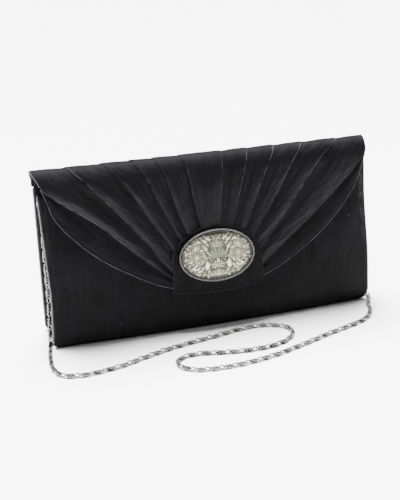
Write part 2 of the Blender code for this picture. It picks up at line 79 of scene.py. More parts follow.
# Fold lines of the pleats, in millimetres: x at each of the roll's heights, then (x, height)
ROLL_END = 0.1145
ROLL_HEIGHTS = (1000 * CREASE_H, 128.0, 1000 * ROLL_END)
FOLDS = [
    [(-130, -130, -129.6), (-122, 108), (-108, 99), (-87, 84), (-72, 70.2), (-52, 52.5), (-30, 35)],
    [(-110, -105.6, -93.5), (-79, 98), (-66, 83), (-55, 70), (-40, 49), (-29, 37)],
    [(-84, -79.6, -67.5), (-59, 100), (-48, 82), (-40, 70), (-28, 50)],
    [(-61, -57.6, -49.5), (-44, 101), (-34.5, 80), (-24, 60)],
    [(-43, -40.6, -35.2), (-30, 94), (-25, 78), (-19, 64)],
    [(-22, -20.6, -17.3), (-15.8, 102), (-13.8, 87), (-9.8, 66)],
    [(12, 11.4, 9.9), (8.6, 102), (6.5, 89), (3.6, 66)],
    [(34, 32.4, 28), (23, 99), (17, 80), (12, 64)],
    [(57, 54.4, 46.8), (39, 100), (27.5, 76), (19, 60)],
    [(81, 77.4, 66.7), (55, 97), (34.5, 69), (23, 54)],
    [(110, 106.4, 90), (72, 94), (42, 60.5), (27, 46)],
    [(130, 130, 129.6), (117, 102.2), (104, 92), (82, 74.5), (48, 50), (29, 37)],
]
MIDDLE = 5                 # the middle pleat lies between this fold and the next
# How pale each fold's edge is made, partly rubbed wear and partly painted highlight where the fold catches
# the light: on the roll, halfway down and beside the tab
FOLD_WEAR_AND_HIGHLIGHT = [(0.2, 0.6, 0.1), (0.7, 0.22, 0.0), (0.3, 0.08, 0.0), (0.25, 0.08, 0.0), (0.25, 0.05, 0.0),
             (0.35, 0.15, 0.0), (0.6, 0.15, 0.0), (0.8, 0.25, 0.0), (0.9, 0.3, 0.0), (0.9, 0.35, 0.05),
             (0.8, 0.45, 0.05), (0.2, 0.35, 0.1)]
ROLL_ROWS, FRONT_ROWS = 22, 46
PLEAT_LOW = -0.00075       # valley beside a fold, against the flap's face
PLEAT_EDGE = 0.00045       # a folded edge, against the flap's face

# Tab and ornament
TAB_HALF, TAB_TOP, TAB_FACE = 0.036, 0.077, 0.0051
ORNAMENT_Z, ORNAMENT_A, ORNAMENT_B = 0.0532, 0.03, 0.0197
PLATE_LIFT = 0.0059
SNAP_Z = 0.048
ORNAMENT_X = -0.0009       # the oval was set a little off the middle

# Gussets and rings
GUSSET_TOP, GUSSET_FOLD, GUSSET_LIP = 0.092, 0.0125, 0.0026
RING_X, RING_Y, RING_TOP = 0.1245, 0.0035, 0.1045
RING_HALF, RING_DROP, RING_R = 0.0034, 0.0068, 0.0008
LINK_MAJOR, LINK_R = 0.003, 0.0005

# Chain: one repeat is an open link and a twisted knot of wire.  The route is in millimetres.
CHAIN_DIAMETER, CHAIN_REPEAT = 0.0032, 0.01
CHAIN_LEANS_TO = (-0.35, -0.94, 0.0)
CHAIN_ON_FLOOR = 1.7
CHAIN_LEFT = [(-124.5, 3.5, 92.6), (-125, 4, 86), (-125.4, 3, 74), (-125.4, 1, 58), (-125.4, -1, 42),
              (-125.6, -3, 28), (-126.2, -5, 14), (-127.2, -8, 5), (-128.8, -14, 1.9)]
CHAIN_FLOOR = [(-132, -26), (-135.6, -42), (-137.2, -57), (-133.4, -68.8), (-122, -72.8),
               (-109, -72.1), (-91, -68.4), (-72, -61), (-52, -54.2), (-33, -49.6), (-12, -45.2),
               (10, -40.2), (28, -40.6), (40.5, -47.6), (42.8, -58.8), (35, -70.4), (19, -77.8),
               (-1, -78.6), (-20, -75), (-35, -70.8), (-46.8, -71.6), (-54.2, -78), (-54.6, -86.6),
               (-46.5, -95), (-29, -98.4), (-8, -97.4), (14, -92.8), (37, -85), (64, -74.2),
               (88, -65.8), (104, -58.2), (114.8, -46), (120, -33), (126.2, -23.2)]
CHAIN_RIGHT = [(129.4, -13, 2.1), (129, -5.5, 6), (127.2, -2.5, 15), (126.2, -1.2, 30),
               (125.6, 0.4, 46), (125.4, 2, 62), (125.2, 3.4, 78), (124.8, 3.8, 87),
               (124.5, 3.5, 92.6)]
CHAIN_ROUTE = mm(CHAIN_LEFT + [(*spot, CHAIN_ON_FLOOR) for spot in CHAIN_FLOOR] + CHAIN_RIGHT)

CORD_ROUND = 0.004         # how much thread goes once round a cord, for its material

# Camera
CAMERA_TARGET = Vector((-0.00685, 0.0, 0.0527))
CAMERA_AZIMUTH, CAMERA_ELEVATION, CAMERA_ROLL = -20.59, 18.93, -1.00
CAMERA_DISTANCE, LENS_MM, SENSOR_MM = 0.8735, 83.3, 36.0


# ---- lines and grids

def smooth(t):
    t = np.clip(t, 0.0, 1.0)
    return t * t * (3 - 2 * t)


def ramp(value, start, span):
    """0 before the start, 1 from start + span on; a negative span makes it fall."""
    return smooth((value - start) / span)


def bell(value, centre, width):
    return np.exp(-((value - centre) / width) ** 2)


def ripple(x, y, seed):
    """Smooth noise from about -1 to 1 at each pair of coordinates."""
    x, y = np.broadcast_arrays(x, y)
    flat = [noise.fractal(Vector((a, b, seed)), 1.0, 2.0, 2) for a, b in zip(x.ravel(), y.ravel())]
    return np.array(flat).reshape(x.shape)


def row(start, stop, count):
    return np.linspace(start, stop, count)[None, :]


def column(start, stop, count):
    return np.linspace(start, stop, count)[:, None]


def angles(count):
    """The angles of a full turn in equal steps."""
    return 2 * np.pi * np.arange(count) / count


def rounded(points, per_span=10, closed=False):
    """A smooth line through the points, as many steps to each span."""
    knots = np.asarray(points, float)
    count = len(knots)
    t = (np.arange(per_span) / per_span)[:, None]
    line = []
    for i in range(count if closed else count - 1):
        near = [i + k for k in (-1, 0, 1, 2)]
        p0, p1, p2, p3 = (knots[k % count if closed else min(max(k, 0), count - 1)] for k in near)
        line.append(0.5 * (2 * p1 + (p2 - p0) * t + (2 * p0 - 5 * p1 + 4 * p2 - p3) * t ** 2
                           + (3 * p1 - p0 - 3 * p2 + p3) * t ** 3))
    if not closed:
        line.append(knots[-1:])
    return np.concatenate(line)


def distances(line):
    return np.concatenate([[0.0], np.cumsum(np.linalg.norm(np.diff(line, axis=0), axis=1))])


def looked_up(at, along, values):
    """The values at these distances along a line."""
    return np.stack([np.interp(at, along, part) for part in values.T], axis=1)


def resampled(line, count):
    along = distances(line)
    return looked_up(np.linspace(0.0, along[-1], count), along, line)


def unit(vectors):
    return vectors / np.maximum(np.linalg.norm(vectors, axis=-1, keepdims=True), 1e-12)


def headings(line, closed=False):
    if closed:
        return unit(np.roll(line, -1, axis=0) - np.roll(line, 1, axis=0))
    return unit(np.gradient(line, axis=0))


def circle(radius_x, radius_y, count):
    angle = angles(count)
    return np.stack([radius_x * np.cos(angle), radius_y * np.sin(angle)], axis=1)


def carried(line, ring, side, up):
    """A grid of the ring's (sideways, upward) points at every point of the line."""
    return line[:, None] + side[:, None] * ring[..., :1] + up[:, None] * ring[..., 1:]


def cloth_uv(points):
    """Distances along the rows and columns of a grid of points."""
    u, v = (np.cumsum(np.linalg.norm(np.diff(points, axis=axis), axis=2), axis=axis) for axis in (1, 0))
    u = np.pad(u, ((0, 0), (1, 0)))
    return np.stack([u - u.mean(axis=1, keepdims=True), np.pad(v, ((1, 0), (0, 0)))], axis=-1)


def grid_faces(rows, columns, tube=False, closed=False, first=0, flip=False):
    """Quads over points numbered row by row; a tube joins its last column to its first."""
    i = np.arange(rows if closed else rows - 1)[:, None]
    j = np.arange(columns if tube else columns - 1)[None, :]
    down, across = (i + 1) % rows, (j + 1) % columns
    quads = np.stack([i * columns + j, i * columns + across, down * columns + across, down * columns + j],
                     axis=-1).reshape(-1, 4)
    return (quads[:, ::-1] if flip else quads) + first


# ---- new pieces

def linked(name, data):
    made = bpy.data.objects.new(name, data)
    bpy.context.scene.collection.objects.link(made)
    return made


def store(made, name, values, kind="FLOAT", field="value"):
    layer = made.data.attributes.new(name, kind, "POINT")
    layer.data.foreach_set(field, np.asarray(values, np.float32).ravel())


def add_mesh(name, points, faces, material, slot, uv=None, wear_and_highlight=None, round_quads=True):
    """A new mesh object; uv is in metres on the cloth and the pale mark is 0 to 1 (wear and painted
    highlight), one of each a point.
    """
    mesh = bpy.data.meshes.new(name)
    faces = faces if isinstance(faces, list) else faces.tolist()
    mesh.from_pydata(np.asarray(points, float).reshape(-1, 3).tolist(), [], faces)
    if uv is not None:
        layer = mesh.uv_layers.new(name="cloth")
        loops = np.empty(len(mesh.loops), int)
        mesh.loops.foreach_get("vertex_index", loops)
        layer.data.foreach_set("uv", uv.reshape(-1, 2)[loops].ravel())
    mesh.polygons.foreach_set("use_smooth", [round_quads and len(face) == 4 for face in faces])
    mesh.materials.append(material)
    made = linked(name, mesh)
    if wear_and_highlight is not None:
        store(made, "wear_and_highlight", wear_and_highlight)
    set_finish(made, slot)
    return made


def add_grid(name, points, material, slot, flip=False, wear_and_highlight=None, thickness=None, offset=-1.0):
    made = add_mesh(name, points, grid_faces(*points.shape[:2], flip=flip), material, slot, cloth_uv(points),
                    wear_and_highlight)
    if thickness is not None:
        shell = made.modifiers.new("thickness", "SOLIDIFY")
        shell.thickness, shell.offset = thickness, offset
        graph = bpy.context.evaluated_depsgraph_get()
        mesh = bpy.data.meshes.new_from_object(made.evaluated_get(graph), preserve_all_data_layers=True,
                                               depsgraph=graph)
        made.modifiers.clear()
        made.data = mesh
    return made


def sweep(name, line, ring, side, material, slot, closed=False):
    """A tube of the ring's shape along the line; side is a vector or one a point."""
    line = np.asarray(line, float)
    ahead = headings(line, closed)
    up = unit(np.cross(np.broadcast_to(np.asarray(side, float), line.shape), ahead))
    points = carried(line, ring, unit(np.cross(ahead, up)), up)
    rows, columns = points.shape[:2]
    faces = grid_faces(rows, columns, True, closed).tolist()
    if not closed:
        faces += [list(range(columns))[::-1], list(range((rows - 1) * columns, rows * columns))]
    round_it = np.tile(np.linspace(0.0, CORD_ROUND, columns), rows)
    uv = np.stack([round_it, np.repeat(distances(line), columns)], axis=1)
    return add_mesh(name, points, faces, material, slot, uv)


def settle(piece, node, body):
    """The piece takes the place of a CAD node and moves with a body."""
    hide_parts(node)
    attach(piece, body)


# ---- the bag's surfaces

OUTLINE = rounded(FLAP_OUTLINE)


def half_width(z):
    return WIDTH / 2 + FLARE * z


def bow(x, z):
    return np.maximum(0.0, 1.0 - (2 * x / WIDTH) ** 2) * np.maximum(0.0, 1.0 - z / BOW_END)


def front_y(x, z):
    return -DEPTH / 2 + FRONT_LEAN * z - FRONT_BOW * bow(x, z)


def back_y(x, z):
    return DEPTH / 2 - BACK_LEAN * z + BACK_BOW * bow(x, z)


def outline_height(x):
    """Height of the flap's lower edge at x."""
    return np.interp(np.abs(x), OUTLINE[:, 0], OUTLINE[:, 1])


def flap_points(x, h, lift):
    """Points of the flap at x and surface height h, lifted off its inner run.

    The surface height is the height on the front, and from the roll on it grows with the
    distance over the roll until it is CREASE_H at the crease.
    """
    x, h, lift = np.broadcast_arrays(x, h, lift)
    shape = x.shape
    x, h, lift = x.ravel(), h.ravel(), lift.ravel()

    def spot(y, z):
        return np.stack([y, np.full_like(x, z)], axis=1)[:, None, :]

    rise_back, rise_front = (np.array([lean, 1.0]) * ROLL_HANDLE / math.hypot(lean, 1.0)
                             for lean in (-BACK_LEAN, FRONT_LEAN))
    start, end = spot(back_y(x, HINGE_Z), HINGE_Z), spot(front_y(x, ROLL_FRONT_Z), ROLL_FRONT_Z)
    t = np.linspace(0.0, 1.0, ROLL_STEPS + 1)[None, :, None]
    roll = ((1 - t) ** 3 * start + 3 * t * (1 - t) ** 2 * (start + rise_back)
            + 3 * t * t * (1 - t) * (end + rise_front) + t ** 3 * end)
    path = np.concatenate([roll, spot(front_y(x, 0.0), 0.0)], axis=1)
    step = np.diff(path, axis=1)
    length = np.linalg.norm(step, axis=2)
    along = np.pad(np.cumsum(length, axis=1), ((0, 0), (1, 0)))
    whole = along[:, -2]
    run = np.where(h > ROLL_FRONT_Z, whole * (CREASE_H - h) / (CREASE_H - ROLL_FRONT_Z),
                   whole + (ROLL_FRONT_Z - h) * length[:, -1] / ROLL_FRONT_Z)
    each = np.arange(len(x))
    i = (along[:, 1:-1] <= run[:, None]).sum(axis=1)
    t = ((run - along[each, i]) / length[each, i])[:, None]
    course = unit(step)
    corner = unit(np.concatenate([course[:, :1], course[:, :-1] + course[:, 1:], course[:, -1:]], axis=1))
    heading = unit(corner[each, i] * (1 - t) + corner[each, i + 1] * t)
    outward = np.stack([heading[:, 1], -heading[:, 0]], axis=1)
    spots = path[each, i] + step[each, i] * t + outward * lift[:, None]
    end = ramp(np.abs(x), 0.105, 0.025)
    top = ramp(h, 0.117, 0.012) * ramp(h, CREASE_H - 0.004, -0.01)
    below = ramp(h, 0.09, 0.018) * (1.0 - ramp(h, 0.114, 0.014))
    x = x - end * (ROLL_SPREAD * top * (x < 0) + ROLL_DRAW * below * np.where(x < 0, -1.0, 0.5))
    return np.concatenate([x[:, None], spots], axis=1).reshape(shape + (3,))


def over_crease(h):
    """0 at the crease, growing to 1 where the roll comes down to the front."""
    return ramp(h, CREASE_H, ROLL_FRONT_Z - CREASE_H)


def wall_points(x, z, depth, facing):
    """Points at a depth behind the outer face of the front (-1) or back (1) wall."""
    surface = front_y(x, z) if facing < 0 else back_y(x, z)
    if facing < 0:
        spread = SIDE_SPREAD * ramp(z, 0.09, -0.062) * ramp(x, 0.095, 0.028)
        x = x + spread - FOOT_SPREAD * ramp(z, 0.042, -0.046) * ramp(-x, 0.095, 0.028)
    return np.stack(np.broadcast_arrays(x, surface - facing * depth, z), axis=-1)


FRONT_ANGLE = math.atan(FRONT_LEAN + FRONT_BOW / BOW_END)
FRONT_NORMAL = Vector((0.0, -math.cos(FRONT_ANGLE), math.sin(FRONT_ANGLE)))


def on_front(x, z, lift):
    return Vector((x, float(front_y(x, z)), z)) + FRONT_NORMAL * lift


# ---- materials

def tinted(colour, factor):
    return tuple(part * factor for part in colour)


class Shading:
    """A Principled material and short ways to add nodes to it."""

    def __init__(self, name, colour, roughness, metallic=0.0):
        self.made = bpy.data.materials.new(name)
        self.made.use_nodes = True
        self.tree = self.made.node_tree
        self.shader = self.tree.nodes["Principled BSDF"]
        self.set("Base Color", (*colour, 1.0))
        self.set("Roughness", roughness)
        self.set("Metallic", metallic)

    def set(self, socket, value):
        self.shader.inputs[socket].default_value = value

    def node(self, kind, inputs=None, **settings):
        made = self.tree.nodes.new("ShaderNode" + kind)
        for key, value in settings.items():
            setattr(made, key, value)
        for key, value in (inputs or {}).items():
            if isinstance(value, bpy.types.NodeSocket):
                self.tree.links.new(value, made.inputs[key])
            else:
                made.inputs[key].default_value = value
        return made

    def finish(self, **outputs):
        """Link the outputs to the shader's sockets of these names and return the material."""
        for socket, output in outputs.items():
            self.tree.links.new(output, self.shader.inputs[socket.replace("_", " ")])
        return self.made

    def cloth(self, scale=(1.0, 1.0, 1.0)):
        """The cloth's own coordinates in metres, scaled."""
        uv = self.node("UVMap", uv_map="cloth").outputs["UV"]
        return self.node("Mapping", {"Vector": uv, "Scale": scale}).outputs["Vector"]

    def place(self, scale=(1.0, 1.0, 1.0)):
        """Object coordinates, scaled."""
        where = self.node("TexCoord").outputs["Object"]
        return self.node("Mapping", {"Vector": where, "Scale": scale}).outputs["Vector"]

    def noise(self, vector, scale, detail=2.0):
        return self.node("TexNoise", {"Vector": vector, "Scale": scale, "Detail": detail}).outputs["Fac"]

    def grain(self, scale, detail=2.0):
        return self.noise(self.place(), scale, detail)

    def bands(self, direction, **inputs):
        inputs = {key.replace("_", " "): value for key, value in inputs.items()}
        return self.node("TexWave", {"Vector": self.cloth(), **inputs}, wave_type="BANDS",
                         bands_direction=direction).outputs["Fac"]

    def mark(self, name):
        return self.node("Attribute", attribute_name=name)

    def spread(self, value, low, high, to_low=0.0, to_high=1.0):
        return self.node("MapRange", {"Value": value, "From Min": low, "From Max": high,
                                      "To Min": to_low, "To Max": to_high}).outputs["Result"]

    def blend(self, factor, a, b):
        a, b = ((*tone, 1.0) if isinstance(tone, tuple) else tone for tone in (a, b))
        return self.node("Mix", {0: factor, 6: a, 7: b}, data_type="RGBA").outputs[2]

    def times(self, a, b):
        return self.node("Math", {0: a, 1: b}, operation="MULTIPLY").outputs[0]

    def bump(self, height, strength, distance, **below):
        return self.node("Bump", {"Height": height, "Strength": strength, "Distance": distance,
                                  **below}).outputs["Normal"]


def satin(name, colour, roughness, specular, crumple, lint=True):
    """Satin: long floats along the cloth, soft tone changes, specks of lint and pale folds, partly worn and
    partly painted highlight.

    crumple is the height in metres of the small creases handling has left.
    """
    made = Shading(name, colour, roughness)
    made.set("Specular IOR Level", specular)
    floats = made.noise(made.cloth((5200.0, 420.0, 1.0)), 1.0, 1.0)
    threads = made.bands("X", Scale=560.0, Distortion=1.5, Detail=1.0, Detail_Scale=400.0)
    clouds = made.grain(38.0, 3.0)
    streaks = made.noise(made.cloth((420.0, 30.0, 1.0)), 1.0)
    tone = made.blend(made.spread(clouds, 0.35, 0.68), tinted(colour, 0.72), tinted(colour, 1.45))
    tone = made.blend(made.spread(streaks, 0.5, 0.78, 0.0, 0.55), tone, tinted(colour, 3.4))
    # Pale grey on the marked edges: partly rubbed wear, partly painted highlight where folds and edges catch
    # the light
    broken = made.spread(made.grain(260.0), 0.36, 0.58)
    tone = made.blend(made.times(made.mark("wear_and_highlight").outputs["Fac"], broken), tone, (0.085, 0.085, 0.09))
    if lint:
        cells = made.node("TexVoronoi", {"Vector": made.place(), "Scale": 105.0})
        speck = made.spread(cells.outputs["Distance"], 0.028, 0.048, 1.0, 0.0)
        picked = made.node("SeparateColor", {"Color": cells.outputs["Color"]})
        some = made.spread(picked.outputs[0], 0.8, 0.95)
        tone = made.blend(made.times(made.times(speck, some), 0.9), tone, (0.3, 0.3, 0.3))
    gloss = made.spread(streaks, 0.3, 0.7, roughness - 0.05, roughness + 0.09)
    matt = made.times(made.mark("fold_edge").outputs["Fac"], 0.5)
    gloss = made.node("Math", {0: gloss, 1: matt}, operation="ADD", use_clamp=True).outputs[0]
    weave = made.bump(floats, 0.3, 0.00006)
    weave = made.bump(threads, 0.16, 0.00005, Normal=weave)
    slubs = made.bump(made.grain(520.0), 0.22, 0.00012, Normal=weave)
    creases = made.noise(made.cloth((190.0, 75.0, 1.0)), 1.0)
    creased = made.bump(creases, 0.5, crumple, Normal=slubs)
    return made.finish(Base_Color=tone, Roughness=gloss, Normal=creased)


def thread_material(name, colour, twist):
    """Twisted thread or cord: diagonal strands along the piece."""
    made = Shading(name, colour, 0.55)
    made.set("Specular IOR Level", 0.25)
    strands = made.bands("DIAGONAL", Scale=twist, Distortion=0.6)
    tone = made.blend(made.spread(made.grain(170.0, 3.0), 0.38, 0.64), tinted(colour, 0.45), colour)
    tone = made.blend(made.spread(strands, 0.0, 1.0, 0.0, 0.5), tone, tinted(colour, 0.25))
    return made.finish(Base_Color=tone, Normal=made.bump(strands, 0.5, 0.00025))


def metal(name, colour, roughness, tarnish=0.35):
    """Plated metal with fine scratches and dull patches."""
    made = Shading(name, colour, roughness, 1.0)
    patches = made.spread(made.grain(240.0, 3.0), 0.4, 0.72, 0.0, tarnish)
    scratches = made.noise(made.place((1.0, 0.25, 1.0)), 900.0)
    return made.finish(Base_Color=made.blend(patches, colour, tinted(colour, 0.55)),
                       Roughness=made.spread(scratches, 0.3, 0.7, roughness - 0.05, roughness + 0.1),
                       Normal=made.bump(scratches, 0.08, 0.00005))


def relief_material(name):
    """Cast silver whose recesses are dark and whose parts are faintly green, gold or rosy."""
    made = Shading(name, (0.6, 0.6, 0.55), 0.36, 0.35)
    grain = made.grain(1500.0, 3.0)
    tone = made.blend(made.spread(grain, 0.42, 0.75, 0.0, 0.35), made.mark("tint").outputs["Color"],
                      (0.05, 0.045, 0.035))
    return made.finish(Base_Color=tone, Roughness=made.spread(grain, 0.3, 0.7, 0.27, 0.48),
                       Normal=made.bump(grain, 0.18, 0.00008))


def board_material(name):
    made = Shading(name, (0.32, 0.26, 0.19), 0.9)
    fibre = made.noise(made.place((300.0, 2400.0, 2400.0)), 1.0)
    tone = made.blend(made.spread(made.grain(320.0, 5.0), 0.35, 0.7), (0.24, 0.19, 0.14), (0.38, 0.32, 0.24))
    tone = made.blend(made.spread(fibre, 0.55, 0.8, 0.0, 0.5), tone, (0.45, 0.39, 0.3))
    return made.finish(Base_Color=tone, Normal=made.bump(fibre, 0.3, 0.0001))


def mottled(name, colour, roughness, metallic, scale, detail, low, dark, light, strength, distance):
    """A plain rough material between two grey tones; low is where the darker one ends."""
    made = Shading(name, colour, roughness, metallic)
    grain = made.grain(scale, detail)
    tone = made.blend(made.spread(grain, low, 1.0 - low), (dark,) * 3, (light,) * 3)
    return made.finish(Base_Color=tone, Normal=made.bump(grain, strength, distance))


def floor_material():
    made = Shading("pale_floor", (0.93, 0.93, 0.935), 0.55)
    return made.finish(Base_Color=made.blend(made.grain(3.0), (0.92, 0.92, 0.925), (0.95, 0.95, 0.952)))


INK = (0.003, 0.003, 0.0036)
SATIN = satin("black_satin", INK, 0.46, 0.11, 0.0018)
# A darker copy of the flap's satin for the walls, base, tab and plain strips: its lower tone is painted
# shade
PANEL_SATIN = satin("black_panel_satin", tinted(INK, 0.8), 0.5, 0.06, 0.0007)
LINING = satin("black_lining", (0.0045, 0.0045, 0.0052), 0.56, 0.08, 0.0005, lint=False)
# Pale grey tape and left roll cord: partly wear, partly painted sheen where these edges catch the light
EDGE_CORD = thread_material("wear_and_sheen_edge_cord", (0.12, 0.12, 0.13), 900.0)
# Fine cord: its pale grey is partly the cord's own and partly painted reflection of its sheen
FINE_CORD = thread_material("fine_edge_cord", (0.075, 0.075, 0.08), 1400.0)
STITCH = thread_material("black_thread", (0.03, 0.03, 0.034), 1600.0)
SILVER = metal("polished_silver", (0.3, 0.3, 0.295), 0.22)
CHAIN_SILVER = metal("chain_silver", (0.26, 0.26, 0.25), 0.22, 0.8)
RIM_SILVER = metal("aged_silver", (0.105, 0.105, 0.1), 0.26, 0.3)
STEEL = metal("plated_steel", (0.4, 0.4, 0.4), 0.34)
# Dark metal: patina in the ornament's groove, and painted shade as the chain's core inside its knots
DARK_METAL = metal("patina_and_shade_metal", (0.02, 0.02, 0.018), 0.5)
RELIEF = relief_material("antique_relief")
BOARD = board_material("grey_board")
FELT = mottled("black_felt", (0.02, 0.02, 0.02), 0.95, 0.0, 700.0, 5.0, 0.3, 0.012, 0.035, 0.5, 0.0004)
MAGNET = mottled("coated_magnet", (0.1, 0.1, 0.105), 0.5, 0.6, 1800.0, 3.0, 0.4, 0.06, 0.16, 0.2, 0.0001)


# ---- camera, floor and light

def add_camera():
    turn, rise, roll = (math.radians(angle) for angle in (CAMERA_AZIMUTH, CAMERA_ELEVATION, CAMERA_ROLL))
    back = Vector((math.sin(turn) * math.cos(rise), -math.cos(turn) * math.cos(rise), math.sin(rise)))
    right = Vector((math.cos(turn), math.sin(turn), 0.0))
    up = back.cross(right)
    across = right * math.cos(roll) + up * math.sin(roll)
    upward = up * math.cos(roll) - right * math.sin(roll)
    data = bpy.data.cameras.new("main_camera")
    data.lens, data.sensor_width, data.clip_start = LENS_MM, SENSOR_MM, 0.01
    camera = linked("main_camera", data)
    turned = Matrix((across, upward, back)).transposed().to_4x4()
    camera.matrix_world = Matrix.Translation(CAMERA_TARGET + back * CAMERA_DISTANCE) @ turned
    bpy.context.scene.camera = camera


def add_light(name, where, aim, size, power):
    data = bpy.data.lights.new(name, "AREA")
    data.shape, data.energy = "RECTANGLE", power
    data.size, data.size_y = size
    light = linked(name, data)
    light.location = where
    light.rotation_euler = (Vector(aim) - Vector(where)).to_track_quat("-Z", "Y").to_euler()
    return light


def add_studio():
    side, near, far = 2.5, -0.45, 3.2
    corners = [(-side, near, 0.0), (side, near, 0.0), (side, far, 0.0), (-side, far, 0.0)]
    floor = add_mesh("floor", corners, [(0, 1, 2, 3)], floor_material(), "satin", round_quads=False)
    del floor["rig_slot"]
    world = bpy.data.worlds.new("studio")
    world.use_nodes = True
    sky = world.node_tree.nodes["Background"].inputs
    sky["Color"].default_value = (1.0, 1.0, 1.0, 1.0)
    sky["Strength"].default_value = 0.14
    bpy.context.scene.world = world
    overhead = bpy.data.lights.new("overhead", "SUN")
    overhead.energy, overhead.angle = 33.0, math.radians(36.0)
    sun = linked("overhead", overhead)
    sun.rotation_euler = Vector((0.02, -0.47, -1.0)).to_track_quat("-Z", "Y").to_euler()
    sun.visible_glossy = False
    # The fill lights leave the floor's shadow alone, and the back light only puts a gloss on the roll
    unlit = bpy.data.collections.new("not_filled")
    unlit.objects.link(floor)
    unlit.collection_objects[0].light_linking.link_state = "EXCLUDE"
    for fill in (add_light("left", (-1.1, -0.35, 0.42), (0.0, 0.0, 0.06), (0.7, 0.5), 6.0),
                 add_light("top", (0.0, -0.3, 1.2), (0.0, 0.0, 0.08), (1.6, 0.7), 14.0)):
        fill.light_linking.receiver_collection = unlit
    add_light("low_left", (-1.1, -0.45, 0.42), (0.0, 0.0, 0.06), (0.7, 0.5), 1.6)
    back = add_light("back", (0.0, 0.2, 1.2), (0.0, 0.0, 0.12), (1.8, 0.9), 34.0)
    back.visible_diffuse = False


# ---- chain

def chain_unit():
    """One repeat of the chain, lying along X from 0 to CHAIN_REPEAT: points, faces and finish."""
    pieces = []

    def ring(centre_x, long_r, wide_r, wire, around, tube_sides, lean=0.0, yaw=0.0, roll=0.0):
        line = np.pad(circle(long_r, wide_r, around), ((0, 0), (0, 1)))
        up = np.broadcast_to([0.0, 0.0, 1.0], line.shape)
        points = carried(line, circle(wire, wire, tube_sides), np.cross(headings(line, True), up), up)
        turn = Matrix.Rotation(roll, 3, "X") @ Matrix.Rotation(yaw, 3, "Z") @ Matrix.Rotation(lean, 3, "Y")
        points = points.reshape(-1, 3) @ np.array(turn).T + [centre_x, 0.0, 0.0]
        pieces.append((points, grid_faces(around, tube_sides, True, True), 0))

    # The open link, then the knot's three slanted rings and the dark core inside them; the core's dark metal
    # is painted shade inside the knot
    ring(0.0015, 0.0018, 0.0012, 0.00055, 20, 7)
    for k in range(3):
        ring(0.0044 + 0.0021 * k, 0.0013, 0.0018, 0.00044, 16, 6, math.radians(60), 0.9, 0.25 * (k - 1))
    slim = np.array([0.3, 0.8, 1.0, 1.0, 1.0, 0.8, 0.3])[:, None, None]
    at = np.broadcast_to(column(0.0034, 0.0095, 7)[..., None], (7, 7, 1))
    core = np.concatenate([at, circle(0.001, 0.001, 7)[None] * slim], axis=2)
    pieces.append((core.reshape(-1, 3), grid_faces(7, 7, True), 1))
    return pieces


def build_chain():
    route = rounded(CHAIN_ROUTE, 14)
    length = distances(route)[-1]
    repeats = round(length / CHAIN_REPEAT)
    stretch = length / repeats
    steps = 16
    line = resampled(route, repeats * steps + 1)
    along = distances(line)
    ahead = headings(line)
    # Carry one sideways direction along the line, so that the links don't flip where it turns
    side = np.empty_like(ahead)
    side[0] = unit(np.cross(ahead[0], [0.0, 1.0, 0.3]))
    for i in range(1, len(line)):
        side[i] = unit(side[i - 1] - ahead[i] * (side[i - 1] @ ahead[i]))
    up = np.cross(ahead, side)
    points, faces, finish, first = [], [], [], 0
    unit_pieces = chain_unit()
    for k in range(repeats):
        tip = float(side[steps * k + steps // 2] @ CHAIN_LEANS_TO)
        twist = 0.25 * math.sin(1.7 * k) + 0.5 * noise.noise(Vector((0.31 * k, 0.0, 4.0)))
        twist -= 0.9 * min(max(1.6 * tip, -1.0), 1.0)
        for local, quads, index in unit_pieces:
            at = np.clip((k + local[:, 0] / CHAIN_REPEAT) * stretch, 0.0, length)
            wide, high = (unit(looked_up(at, along, values)) for values in (side, up))
            y = local[:, 1] * math.cos(twist) - local[:, 2] * math.sin(twist)
            z = local[:, 1] * math.sin(twist) + local[:, 2] * math.cos(twist)
            points.append(looked_up(at, along, line) + wide * y[:, None] + high * z[:, None])
            faces.append(quads + first)
            finish += [index] * len(quads)
            first += len(local)
    chain = add_mesh("chain_links", np.concatenate(points), np.concatenate(faces), CHAIN_SILVER, "chain")
    chain.data.materials.append(DARK_METAL)
    chain.data.polygons.foreach_set("material_index", finish)
    settle(chain, "chain", "root")


# ---- pleats

def fold_line(knots):
    """A fold line as rows of (x, surface height): evenly in height on the roll, then in length."""
    line = rounded(mm([*zip(knots[0], ROLL_HEIGHTS), *knots[1:]]))
    heights = np.linspace(CREASE_H, ROLL_END, ROLL_ROWS + 1)
    roll = np.stack([np.interp(-heights, -line[:, 1], line[:, 0]), heights], axis=1)
    lower = np.concatenate([roll[-1:], line[line[:, 1] < ROLL_END - 1e-6]])
    return np.concatenate([roll[:-1], resampled(lower, FRONT_ROWS)])


